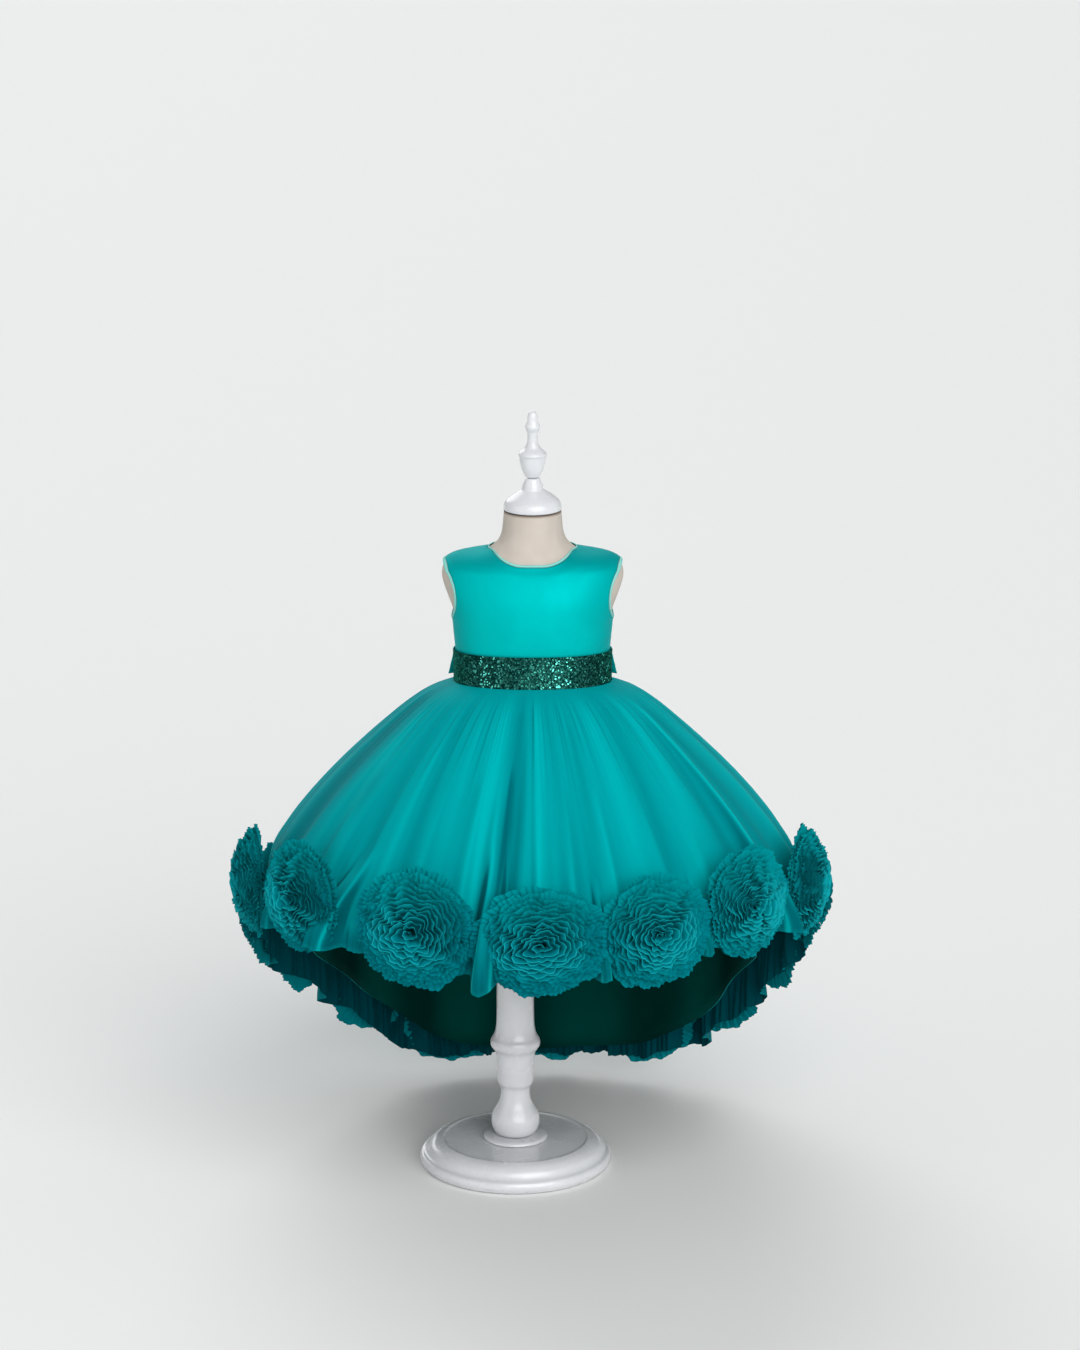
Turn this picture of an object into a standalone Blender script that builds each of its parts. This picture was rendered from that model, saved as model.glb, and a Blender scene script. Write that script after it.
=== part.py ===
"""A child's high-low ball gown on a dress form with a turned stand.

Metres, +Z up. The front faces -Y and +X is the wearer's left. The origin is the middle of the base's
underside, on the post's axis.
An azimuth is an angle round the form's upright axis: 0 at the middle of the front, 90 degrees at +X.
Cloth is a grid of points on a surface that is worked out from sizes, and gets its thickness outwards.
"""

import math

import bmesh
import bpy
import numpy as np

# ---- Driving sizes -----------------------------------------------------------------------------
FORM_X = 0.022  # the form's axis stands this far to +X of the post's
SEAM_GAP = 0.0004  # clear space between pieces that meet
LAYER_GAP = 0.0010  # clear space between a piece and what it lies on
SKIRT_GAP = 0.0016  # the skirts start this far below the waist seam
SATIN = 0.0014  # thickness of the satin walls
TULLE = 0.0012  # thickness of the tulle walls
RIBBON = 0.0011  # thickness of the bow's walls and of the zip's tape
EASE = 0.0036  # clear space between the form's cover and the bodice

WAIST_Z = 0.6335  # height of the waist seam at the side
WAIST_TILT = 0.116  # the seam rises towards the front by this share of the distance
BELT_HEIGHT = 0.038

NECKLINE_FRONT_Z = 0.785
NECKLINE_BACK_Z = 0.790
NECKLINE_SIDE_Z = 0.7984
NECKLINE_FLAT_TO = 15.0  # degrees: the scoop is level as far as this azimuth
NECKLINE_SIDE_FROM = 75.0  # degrees: and has risen to the shoulder by this one
BINDING_GAP = 0.0015  # from the bodice's edge to the binding
BINDING_REACH = 0.0033  # from the bodice's edge to the binding's far edge

ARMHOLE_Z = 0.748
ARMHOLE_HALF_HEIGHT = 0.036
ARMHOLE_HALF_ANGLE = 24.0  # degrees
ROWS_BEND_FROM = 0.55  # the bodice's rows bend round the armhole from this share of the way to the side

# The rosettes, in order round the hem.
ROSETTE_COLUMNS = ("azimuth", "radius")
ROSETTES = (
    (2.0, 0.069), (29.5, 0.066), (52.5, 0.064), (75.5, 0.064), (95.5, 0.062), (112.0, 0.062), (129.0, 0.061),
    (152.5, 0.060), (175.5, 0.060), (-161.5, 0.060), (-136.5, 0.060), (-117.5, 0.062), (-99.5, 0.062),
    (-81.0, 0.064), (-58.0, 0.064), (-28.0, 0.070),
)
ROSETTE_DEPTH = 0.034
ROSETTE_BELOW_HEM = 0.006
ROSETTE_OFF_TULLE = 0.0045  # clear space between the overskirt and a rosette's flat back
ROSETTE_WAVE, ROSETTE_WAVES = 0.02, 3  # its rim goes in and out by this share of its radius, so many times

# The outline of half a rosette, from its back to its crown, as shares of its radius and depth.
DOME_OUTLINE = ((0.55, 0.0), (1.0, 0.12), (1.0, 0.40), (0.82, 0.80), (0.45, 1.0))

# The form: sections from the flat underside up to the top of the neck.
FORM_COLUMNS = ("height", "half_width", "front", "back", "squareness")
FORM_SECTIONS = (
    (0.5000, 0.0800, 0.0690, 0.0670, 2.2),
    (0.5060, 0.0870, 0.0740, 0.0720, 2.2),
    (0.5200, 0.0905, 0.0770, 0.0750, 2.2),
    (0.5600, 0.0930, 0.0785, 0.0745, 2.2),
    (0.6000, 0.0920, 0.0765, 0.0700, 2.2),
    (0.6400, 0.0900, 0.0720, 0.0650, 2.2),
    (0.6670, 0.0905, 0.0720, 0.0650, 2.2),
    (0.6970, 0.0930, 0.0735, 0.0675, 2.2),
    (0.7120, 0.0945, 0.0730, 0.0690, 2.2),
    (0.7270, 0.0985, 0.0710, 0.0690, 2.25),
    (0.7420, 0.1040, 0.0680, 0.0675, 2.3),
    (0.7550, 0.1085, 0.0640, 0.0650, 2.3),
    (0.7670, 0.1110, 0.0590, 0.0620, 2.3),
    (0.7750, 0.1100, 0.0550, 0.0590, 2.3),
    (0.7820, 0.1055, 0.0515, 0.0545, 2.1),
    (0.7870, 0.0985, 0.0492, 0.0505, 1.85),
    (0.7910, 0.0885, 0.0476, 0.0475, 1.65),
    (0.7940, 0.0765, 0.0464, 0.0458, 1.55),
    (0.7962, 0.0640, 0.0456, 0.0448, 1.6),
    (0.7985, 0.0545, 0.0448, 0.0442, 1.75),
    (0.8040, 0.0462, 0.0430, 0.0430, 1.95),
    (0.8090, 0.0418, 0.0410, 0.0415, 2.0),
    (0.8200, 0.0376, 0.0378, 0.0380, 2.0),
    (0.8455, 0.0350, 0.0350, 0.0350, 2.0),
)
FORM_TOP_Z = FORM_SECTIONS[-1][0]
FORM_HALF_WIDTH = max(row[1] for row in FORM_SECTIONS)
FORM_NECK_RADIUS = 0.050  # about the form's radius at the neckline, where the zip ends

# How far each skirt layer stands out at the side, by how far below the waist seam, before its folds.
SKIRT_COLUMNS = ("drop", "tulle", "satin")
SKIRT_SECTIONS = (
    (0.000, 0.0000, 0.0000),
    (0.004, 0.0110, 0.0070),
    (0.012, 0.0300, 0.0220),
    (0.027, 0.0525, 0.0440),
    (0.053, 0.0835, 0.0700),
    (0.085, 0.1185, 0.1000),
    (0.117, 0.1505, 0.1280),
    (0.156, 0.1850, 0.1550),
    (0.190, 0.2105, 0.1710),
    (0.230, 0.2330, 0.1810),
    (0.290, 0.2430, 0.1870),
    (0.400, 0.2440, 0.1900),
    (0.620, 0.2410, 0.1930),
)
# The share of that which the front and the back have.
STAND_OUT = {"tulle": (0.870, 1.030), "satin": (0.930, 1.110)}
# How far each layer's inner face is off the form's cover at the waist.
WAIST_OFF = {"tulle": 0.0072, "satin": 0.0034}

# Height of each layer's hem by azimuth. The front is high and the train is low.
HEM_COLUMNS = ("azimuth", "tulle", "satin")
HEM_HEIGHTS = (
    (-180, 0.038, 0.050),
    (-162, 0.040, 0.060),
    (-150, 0.055, 0.088),
    (-140, 0.100, 0.125),
    (-130, 0.142, 0.162),
    (-120, 0.188, 0.198),
    (-110, 0.226, 0.232),
    (-100, 0.264, 0.266),
    (-90, 0.305, 0.304),
    (-76, 0.337, 0.345),
    (-57, 0.349, 0.368),
    (-28, 0.335, 0.374),
    (0, 0.328, 0.372),
    (28, 0.335, 0.374),
    (51, 0.350, 0.366),
    (76, 0.338, 0.330),
    (90, 0.312, 0.278),
    (100, 0.281, 0.252),
    (110, 0.224, 0.214),
    (120, 0.168, 0.170),
    (130, 0.120, 0.128),
    (140, 0.075, 0.096),
    (150, 0.050, 0.072),
    (162, 0.040, 0.058),
    (180, 0.038, 0.050),
)

# The overskirt's largest folds: where each trough is, how wide and how deep it gets towards the hem.
FOLD_COLUMNS = ("azimuth", "half_angle", "depth")
TULLE_FOLDS = (
    (-168, 5, 0.010), (-152, 6, 0.008), (-138, 4, 0.011), (-123, 6, 0.008), (-108, 5, 0.010), (-92, 5, 0.008),
    (-76, 5, 0.008), (-62, 4, 0.007), (-49, 5, 0.009), (-36, 4, 0.006), (-26, 4, 0.008), (-15, 3, 0.007),
    (-5.6, 3, 0.015), (6.3, 3, 0.006), (14.5, 3, 0.008), (27, 5, 0.008), (39, 4, 0.007), (50, 4, 0.007),
    (60, 4, 0.012), (75, 5, 0.008), (90, 5, 0.008), (104, 4, 0.011), (119, 6, 0.008), (134, 5, 0.010),
    (149, 5, 0.008), (163, 4, 0.011), (178, 5, 0.007),
)
SATIN_FOLDS = 11
SATIN_FOLD_DEPTH = 0.011
SATIN_FOLD_DRIFT, SATIN_DRIFTS = 0.8, 3  # the folds drift from even spacing by this much, so many times round
FOLDS_GROW_OVER = 0.25  # the folds reach their full depth this far below the waist

# The bow at the middle of the back.
BOW_TIP_AZIMUTH = 112.0
BOW_LOOP_OFF = 0.0060  # the inner band of a loop is this far off the sash
BOW_LOOP_DEPTH = 0.015
BOW_LOOP_HEIGHT = 0.032
BOW_LOOP_PINCH = 0.60  # the share of that height at the knot
BOW_LOOP_SPLAY = 0.008  # the loops lean out at their foot by this much
BOW_LOOP_BLUNT = 0.75  # below 1, a loop stays far out for longer on each side of its tip
BOW_LOOP_FLARE = 0.70  # the share of a loop's depth that it only has away from the knot
KNOT_HALF_WIDTH, KNOT_HALF_HEIGHT, KNOT_DEPTH = 0.015, 0.0175, 0.018
KNOT_TAPER = 0.22  # the knot is narrower at its top and foot by this share
TAIL_LENGTH, TAIL_WIDTH, TAIL_LIFT = 0.250, 0.046, 0.0060
TAIL_START = 0.006  # below the overskirt's top edge
TAIL_FALL = 0.70  # the skirt slopes, so a tail comes down by this share of its length
TAIL_SLANT = 0.025  # one corner of a tail's end is lower than its middle by this much, and one is higher
TAIL_SPREAD = 6.0  # degrees that a tail swings out by its end
TAIL_PINCH = 0.45  # the share of its width at the knot
TAIL_OPENS_BY = 0.25  # the share of its length by which it has its full width
TAIL_LIFT_AT_KNOT = 0.6  # share
TAIL_LIFT_WAY = (0.0, 0.60, 0.80)  # outward and up from the slope of the skirt at the back
TAIL_AZIMUTHS = {"left": 172.0, "right": -169.0}

# The zip at the middle of the back.
ZIP_HALF_WIDTH = 0.0016
ZIP_BODICE_RADIUS = 0.072  # about the form's radius at the middle of its back
ZIP_ABOVE_WAIST, ZIP_BELOW_NECK = 0.001, 0.002
SLIDER_WIDTH, SLIDER_HEIGHT, SLIDER_DEPTH = 0.0050, 0.0090, 0.0022
SLIDER_BEVEL = 0.0006
SLIDER_BELOW_NECK = 0.0165
TAB_LENGTH, TAB_WIDTH, TAB_THICKNESS = 0.0200, 0.0060, 0.0012
TAB_EYE = 0.0010  # the tab reaches this far above its hinge
TAB_AXIS_OFF = 0.0044  # the hinge's axis is this far off the zip
TAB_FALLS_IN = 8.0  # degrees that the tab hangs closer to the cloth than parallel to it
TAB_MIDDLE, TAB_DROP = 0.72, 0.28  # the tab's mean width as a share, and how much wider it is below

# The stand: turned profiles as (radius, height) from the bottom up.
BASE_PROFILE = (
    (0.0000, 0.0000), (0.1155, 0.0000), (0.1180, 0.0025), (0.1208, 0.0070), (0.1208, 0.0110),
    (0.1185, 0.0150), (0.1140, 0.0168), (0.1110, 0.0200), (0.1075, 0.0255), (0.1010, 0.0305),
    (0.0930, 0.0330), (0.0905, 0.0330), (0.0890, 0.0315), (0.0600, 0.0322), (0.0000, 0.0322),
)
COLLAR_PROFILE = (
    (0.0000, 0.0326), (0.0400, 0.0326), (0.0405, 0.0345),
    (0.0390, 0.0368), (0.0360, 0.0378), (0.0000, 0.0378),
)
POST_PROFILE = (
    (0.0000, 0.0382), (0.0225, 0.0382), (0.0275, 0.0430), (0.0302, 0.0500), (0.0308, 0.0565),
    (0.0296, 0.0635), (0.0262, 0.0700), (0.0226, 0.0755), (0.0200, 0.0815), (0.0184, 0.0900),
    (0.0184, 0.1000), (0.0205, 0.1035), (0.0228, 0.1070), (0.0236, 0.1200), (0.0240, 0.1440),
    (0.0262, 0.1495), (0.0300, 0.1540), (0.0316, 0.1590), (0.0306, 0.1640), (0.0272, 0.1690),
    (0.0245, 0.1780), (0.0234, 0.1950), (0.0232, 0.3500), (0.0232, 0.4996), (0.0000, 0.4996),
)
CAP_PROFILE = (
    (0.0000, 0.8460), (0.0352, 0.8460), (0.0356, 0.8500), (0.0348, 0.8545), (0.0318, 0.8592),
    (0.0262, 0.8636), (0.0208, 0.8672), (0.0160, 0.8702), (0.0132, 0.8722), (0.0126, 0.8765),
    (0.0112, 0.8790), (0.0098, 0.8835), (0.0082, 0.8864), (0.0000, 0.8864),
)
FINIAL_PROFILE = (
    (0.0000, 0.8868), (0.0082, 0.8868), (0.0104, 0.8905), (0.0130, 0.8960), (0.0150, 0.9030),
    (0.0161, 0.9095), (0.0161, 0.9122), (0.0173, 0.9140), (0.0174, 0.9165), (0.0145, 0.9195),
    (0.0104, 0.9225), (0.0080, 0.9262), (0.0066, 0.9310), (0.0062, 0.9370), (0.0064, 0.9425),
    (0.0078, 0.9452), (0.0092, 0.9482), (0.0092, 0.9508), (0.0076, 0.9540), (0.0062, 0.9560),
    (0.0063, 0.9615), (0.0055, 0.9655), (0.0034, 0.9685), (0.0000, 0.9694),
)
BASE_SIDES, POST_SIDES, FINIAL_SIDES = 40, 20, 16

# Grids: how many points across and down each piece.
FORM_ACROSS = 36
BODICE_ACROSS = 17
SIDE_ROWS_BELOW_ARMHOLE, ARMHOLE_STEPS, SHOULDER_ROWS = 4, 6, 3
TULLE_ACROSS, SATIN_ACROSS = 49, 21
TULLE_ROWS = (0.0, 0.018, 0.05, 0.11, 0.21, 0.36, 0.56, 0.78, 1.0)  # shares of the way down to the hem
SATIN_ROWS = (0.0, 0.025, 0.09, 0.22, 0.42, 0.70, 1.0)
ROSETTE_SIDES = 10
LOOP_ALONG, TAIL_ALONG, TAIL_ACROSS = 17, 10, 4
KNOT_SIDES, KNOT_RINGS = 14, (-1.0, -0.6, 0.0, 0.6, 1.0)
TAB_SIDES, ZIP_ROWS = 16, 9
FORM_FINE_STEPS = 200  # steps in which a length up the form is measured

# ---- Finishes: colour, roughness, metallic ------------------------------------------------------
FINISHES = {
    "satin": ((0.000, 0.560, 0.545), 0.35, 0.0),
    "tulle": ((0.000, 0.350, 0.355), 0.80, 0.0),
    "rosette_tulle": ((0.000, 0.250, 0.270), 0.85, 0.0),
    "sequins": ((0.005, 0.100, 0.075), 0.30, 0.6),
    "binding": ((0.450, 0.860, 0.800), 0.60, 0.0),
    "zip_metal": ((0.050, 0.420, 0.410), 0.35, 0.5),
    "form_cover": ((0.700, 0.630, 0.550), 0.90, 0.0),
    "painted_wood": ((0.820, 0.810, 0.800), 0.30, 0.0),
}


# ---- Small tools --------------------------------------------------------------------------------
def smooth_step(t):
    """0 below 0, 1 above 1, and a smooth rise between."""
    t = np.clip(t, 0.0, 1.0)
    return t * t * (3 - 2 * t)


def read_table(columns, rows, name, at):
    """A table's column at some values of its first column, on a smooth curve that never overshoots a row."""
    table = np.array(rows, float)
    known, values = table[:, 0], table[:, columns.index(name)]
    steps = np.diff(known)
    slopes = np.diff(values) / steps
    before, after = slopes[:-1], slopes[1:]
    same_way = before * after > 0
    weight_a = 2 * steps[1:] + steps[:-1]
    weight_b = steps[1:] + 2 * steps[:-1]
    mixed = weight_a / np.where(same_way, before, 1) + weight_b / np.where(same_way, after, 1)
    blend = np.where(same_way, (weight_a + weight_b) / mixed, 0.0)
    tangents = np.concatenate([slopes[:1], blend, slopes[-1:]])
    at = np.clip(np.asarray(at, float), known[0], known[-1])
    row = np.clip(np.searchsorted(known, at) - 1, 0, len(steps) - 1)
    t = (at - known[row]) / steps[row]
    rise, fall = 3 * t**2 - 2 * t**3, 1 - (3 * t**2 - 2 * t**3)
    return (fall * values[row] + rise * values[row + 1]
            + steps[row] * (t * (1 - t) ** 2 * tangents[row] - t * t * (1 - t) * tangents[row + 1]))


def oval(azimuth, half_width, front, back, squareness):
    """Radius of an oval at an azimuth in radians. Its front and back have their own depths."""
    depth = np.where(np.cos(azimuth) > 0, front, back)
    return ((np.abs(np.cos(azimuth)) / depth) ** squareness
            + (np.abs(np.sin(azimuth)) / half_width) ** squareness) ** (-1 / squareness)


def at_azimuth(azimuth, radius, height):
    """Points at an azimuth, radius and height round the form's axis."""
    return np.stack([radius * np.sin(azimuth), -radius * np.cos(azimuth), height + 0 * radius], axis=-1)


def form_radius(azimuth, height):
    """Radius of the form's cover at an azimuth and a height."""
    sizes = [read_table(FORM_COLUMNS, FORM_SECTIONS, name, height) for name in FORM_COLUMNS[1:]]
    return oval(azimuth, *sizes)


def form_surface(azimuth, height):
    """Points on the form's cover."""
    return at_azimuth(azimuth, form_radius(azimuth, height), height)


def waist_height(azimuth):
    """Height of the waist seam, which lies in a plane that rises to the front."""
    return WAIST_Z + WAIST_TILT * form_radius(azimuth, WAIST_Z) * np.cos(azimuth)


def further_up_form(azimuth, height, distance):
    """The height that is a distance further up along the form's cover."""
    step = 1e-4
    slope = (form_radius(azimuth, height + step) - form_radius(azimuth, height - step)) / (2 * step)
    return height + distance / np.sqrt(1 + slope**2)


def even_heights(azimuth, bottom, top, count):
    """Heights from the bottom to the top that are evenly spaced along the form's cover, at one azimuth."""
    heights = np.linspace(bottom, top, FORM_FINE_STEPS)
    radii = form_radius(azimuth, heights)
    lengths = np.concatenate([[0.0], np.cumsum(np.hypot(np.diff(radii), np.diff(heights)))])
    return np.interp(np.linspace(0, lengths[-1], count), lengths, heights)


def outward_from(surface, azimuth, height, distance):
    """Points moved off a surface by a distance along its normal."""
    step = 1e-4
    across = surface(azimuth + step, height) - surface(azimuth - step, height)
    up = surface(azimuth, height + step) - surface(azimuth, height - step)
    normal = np.cross(across, up)
    normal /= np.linalg.norm(normal, axis=-1, keepdims=True)
    return surface(azimuth, height) + normal * distance


def off_form(azimuth, height, distance):
    """Points a distance off the form's cover."""
    return outward_from(form_surface, azimuth, np.minimum(height, FORM_TOP_Z - 0.001), distance)


# ---- Objects ------------------------------------------------------------------------------------
def clear_scene():
    """Removes every object that the file opened with."""
    for obj in list(bpy.data.objects):
        bpy.data.objects.remove(obj)


def make_finish(name):
    """A Principled material for one of the finishes."""
    colour, roughness, metallic = FINISHES[name]
    material = bpy.data.materials.new(name)
    material.use_nodes = True
    shader = material.node_tree.nodes["Principled BSDF"]
    shader.inputs["Base Color"].default_value = (*colour, 1.0)
    shader.inputs["Roughness"].default_value = roughness
    shader.inputs["Metallic"].default_value = metallic
    return material


def finish(name):
    """The material of a finish, made the first time it is asked for."""
    return bpy.data.materials.get(name) or make_finish(name)


def add_object(name, mesh, finish_name, parent=None, smooth=True):
    """Links a mesh to the scene as a named object with one material."""
    mesh.materials.append(finish(finish_name))
    if smooth:
        mesh.shade_smooth()
        mesh.set_sharp_from_angle(angle=math.radians(40))
    obj = bpy.data.objects.new(name, mesh)
    bpy.context.scene.collection.objects.link(obj)
    obj.parent = parent
    return obj


def mesh_from(name, points, faces):
    """A mesh from an array of points and a list of faces."""
    mesh = bpy.data.meshes.new(name)
    mesh.from_pydata([tuple(map(float, p)) for p in points], [], faces)
    return mesh


def grid_faces(rows, columns, round_it=False):
    """Quads between neighbouring points of a grid, which may close on itself across its columns."""
    faces = []
    for row in range(rows - 1):
        for column in range(columns if round_it else columns - 1):
            beside = (column + 1) % columns
            faces.append((row * columns + column, row * columns + beside,
                          (row + 1) * columns + beside, (row + 1) * columns + column))
    return faces


def turned(name, profile, sides, finish_name, parent=None):
    """A turned piece: the profile spun round the upright axis."""
    shape = bmesh.new()
    corners = [shape.verts.new((radius, 0, height)) for radius, height in profile]
    edges = [shape.edges.new(pair) for pair in zip(corners, corners[1:])]
    bmesh.ops.spin(shape, geom=corners + edges, cent=(0, 0, 0), axis=(0, 0, 1),
                   angle=2 * math.pi, steps=sides, use_duplicate=False)
    bmesh.ops.remove_doubles(shape, verts=shape.verts[:], dist=1e-5)
    bmesh.ops.recalc_face_normals(shape, faces=shape.faces[:])
    mesh = bpy.data.meshes.new(name)
    shape.to_mesh(mesh)
    shape.free()
    return add_object(name, mesh, finish_name, parent)


def cloth(name, grid, thickness, finish_name, parent, round_it=False):
    """A cloth wall: rows of points from the bottom up, columns by rising azimuth, thickened outwards."""
    rows, columns = grid.shape[:2]
    mesh = mesh_from(name, grid.reshape(-1, 3), grid_faces(rows, columns, round_it))
    obj = add_object(name, mesh, finish_name, parent)
    wall = obj.modifiers.new("Wall", "SOLIDIFY")
    wall.thickness = thickness
    wall.offset = 1.0
    wall.use_even_offset = True
    wall.use_quality_normals = True
    return obj


def solid_rings(name, rings, finish_name, parent):
    """A solid through closed rings of points, with its first and last ring filled."""
    count, sides = rings.shape[:2]
    faces = grid_faces(count, sides, round_it=True)
    faces += [tuple(range(sides)), tuple(range((count - 1) * sides, count * sides))]
    shape = bmesh.new()
    shape.from_mesh(mesh_from(name, rings.reshape(-1, 3), faces))
    bmesh.ops.recalc_face_normals(shape, faces=shape.faces[:])
    mesh = bpy.data.meshes.new(name)
    shape.to_mesh(mesh)
    shape.free()
    return add_object(name, mesh, finish_name, parent)


# ---- The stand and the form ---------------------------------------------------------------------
def build_stand(form_axis):
    """Base, collar and post on the origin's axis, and the neck cap and finial on the form's."""
    turned("base_disc", BASE_PROFILE, BASE_SIDES, "painted_wood")
    turned("base_collar", COLLAR_PROFILE, POST_SIDES, "painted_wood")
    turned("stand_post", POST_PROFILE, POST_SIDES, "painted_wood")
    turned("neck_cap", CAP_PROFILE, POST_SIDES, "painted_wood", form_axis)
    turned("finial", FINIAL_PROFILE, FINIAL_SIDES, "painted_wood", form_axis)


def build_form(form_axis):
    """The limbless form, through its sections."""
    heights = np.array([row[0] for row in FORM_SECTIONS])
    azimuths = np.linspace(-math.pi, math.pi, FORM_ACROSS, endpoint=False)
    azimuth, height = np.meshgrid(azimuths, heights)
    solid_rings("form_torso", form_surface(azimuth, height), "form_cover", form_axis)


# ---- The bodice ---------------------------------------------------------------------------------
def neckline_height(azimuth):
    """Height of the neckline: level in the middle of the front and back, and risen at the sides."""
    from_middle = np.degrees(np.arccos(np.abs(np.cos(azimuth))))
    lowest = np.where(np.cos(azimuth) > 0, NECKLINE_FRONT_Z, NECKLINE_BACK_Z)
    rise = smooth_step((from_middle - NECKLINE_FLAT_TO) / (NECKLINE_SIDE_FROM - NECKLINE_FLAT_TO))
    return lowest + (NECKLINE_SIDE_Z - lowest) * rise


def armhole_edge(turn, inset=0.0):
    """How many radians a point on the armhole's edge is from the side, and its height. Turn 0 is its foot."""
    height = ARMHOLE_Z - (ARMHOLE_HALF_HEIGHT - inset) * np.cos(turn)
    return (math.radians(ARMHOLE_HALF_ANGLE) - inset / FORM_HALF_WIDTH) * np.sin(turn), height


def side_heights():
    """Heights of the rows at the side seam: up to the armhole, round its edge, and along the shoulder."""
    foot, head = ARMHOLE_Z - ARMHOLE_HALF_HEIGHT, ARMHOLE_Z + ARMHOLE_HALF_HEIGHT
    below = np.linspace(float(waist_height(math.pi / 2)), foot, SIDE_ROWS_BELOW_ARMHOLE + 1)
    _, around = armhole_edge(np.linspace(0, math.pi, ARMHOLE_STEPS + 1))
    shoulder = even_heights(math.pi / 2, head, NECKLINE_SIDE_Z, SHOULDER_ROWS + 1)
    return np.concatenate([below[:-1], around, shoulder[1:]])


def bodice_columns(first, last, across):
    """Azimuths in radians of a bodice panel's columns, between two azimuths in degrees."""
    return np.radians(np.linspace(first, last, across))


def bodice_panel(columns):
    """Grid of a bodice panel. Its rows bend round the armhole near the side, and are even elsewhere."""
    at_side = side_heights()
    share_at_side = (at_side - at_side[0]) / (at_side[-1] - at_side[0])
    away = np.clip((at_side - ARMHOLE_Z) / ARMHOLE_HALF_HEIGHT, -1, 1)
    cut_away = math.radians(ARMHOLE_HALF_ANGLE) * np.sqrt(1 - away**2)
    azimuths, heights = [], []
    for azimuth in columns:
        bottom, top = float(waist_height(azimuth)), float(neckline_height(azimuth))
        near_side = 1 - abs(abs(azimuth) / (math.pi / 2) - 1)
        bend = smooth_step((near_side - ROWS_BEND_FROM) / (1 - ROWS_BEND_FROM))
        even = even_heights(azimuth, bottom, top, len(at_side))
        heights.append(even + bend * (bottom + (top - bottom) * share_at_side - even))
        inward = np.sign(azimuth) * (-1 if abs(azimuth) <= math.pi / 2 else 1)
        azimuths.append(azimuth + inward * cut_away * near_side)
    return off_form(np.array(azimuths).T, np.array(heights).T, EASE)


def build_bodice(form_axis):
    """Front and two backs, the pale bindings that show at the neck and armholes, and the zip."""
    side = math.degrees(SEAM_GAP / FORM_HALF_WIDTH)
    middle = math.degrees((ZIP_HALF_WIDTH + SEAM_GAP) / FORM_NECK_RADIUS)
    half = BODICE_ACROSS // 2 + 1
    front = bodice_columns(-90 + side, 90 - side, BODICE_ACROSS)
    back_left = bodice_columns(90 + side, 180 - middle, half)
    back_right = bodice_columns(-180 + middle, -90 - side, half)
    cloth("bodice_front", bodice_panel(front), SATIN, "satin", form_axis)
    cloth("bodice_back_left", bodice_panel(back_left), SATIN, "satin", form_axis)
    cloth("bodice_back_right", bodice_panel(back_right), SATIN, "satin", form_axis)
    build_neck_binding(form_axis, np.concatenate([back_right, front, back_left]))
    for side_sign, name in ((1, "armhole_binding_left"), (-1, "armhole_binding_right")):
        build_armhole_binding(form_axis, side_sign, name)
    build_zip(form_axis)


def build_neck_binding(form_axis, columns):
    """A narrow strip just above the neckline's edge, open at the zip."""
    azimuth, above = np.meshgrid(columns, [BINDING_GAP, BINDING_REACH])
    height = further_up_form(azimuth, neckline_height(azimuth), above)
    cloth("neck_binding", off_form(azimuth, height, EASE), SATIN, "binding", form_axis)


def build_armhole_binding(form_axis, side_sign, name):
    """A narrow strip just inside the armhole's edge, all the way round."""
    turns = np.linspace(0, 2 * math.pi, 2 * ARMHOLE_STEPS, endpoint=False)
    turn, inset = np.meshgrid(turns, [BINDING_GAP, BINDING_REACH])
    from_side, height = armhole_edge(turn, inset)
    grid = off_form(side_sign * (math.pi / 2 - from_side), height, EASE)
    cloth(name, grid[:, ::-1] if side_sign > 0 else grid, SATIN, "binding", form_axis, round_it=True)


def build_zip(form_axis):
    """Tape in the middle-back opening, slider on it, and the pull tab on its hinge."""
    foot, head = float(waist_height(math.pi)) + ZIP_ABOVE_WAIST, NECKLINE_BACK_Z - ZIP_BELOW_NECK
    half_angle = ZIP_HALF_WIDTH / ZIP_BODICE_RADIUS
    azimuth, height = np.meshgrid([math.pi - half_angle, math.pi + half_angle],
                                  even_heights(math.pi, foot, head, ZIP_ROWS))
    cloth("zip_tape", off_form(azimuth, height, EASE), RIBBON, "satin", form_axis)

    middle_z = NECKLINE_BACK_Z - SLIDER_BELOW_NECK
    seat, below = off_form(np.full(2, math.pi), np.array([middle_z, middle_z - TAB_LENGTH / 2]), EASE + SATIN)
    lean = math.atan2(below[1] - seat[1], seat[2] - below[2])
    slider_size = (SLIDER_WIDTH, SLIDER_DEPTH, SLIDER_HEIGHT)
    slider = box("zip_slider", slider_size, SLIDER_BEVEL, "zip_metal", form_axis)
    slider.location = seat + np.array([0, LAYER_GAP + SLIDER_DEPTH / 2, 0])
    slider.rotation_euler = (lean, 0, 0)
    tab = pull_tab(form_axis)
    tab.location = seat + np.array([0, TAB_AXIS_OFF + SEAM_GAP, 0])
    tab.rotation_euler = (lean - math.radians(TAB_FALLS_IN), 0, 0)


def box(name, size, bevel, finish_name, parent):
    """A box about its own middle with bevelled edges."""
    shape = bmesh.new()
    bmesh.ops.create_cube(shape, size=1.0)
    bmesh.ops.scale(shape, vec=size, verts=shape.verts[:])
    bmesh.ops.bevel(shape, geom=shape.edges[:], offset=bevel, segments=1, affect="EDGES")
    mesh = bpy.data.meshes.new(name)
    shape.to_mesh(mesh)
    shape.free()
    return add_object(name, mesh, finish_name, parent)


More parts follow.
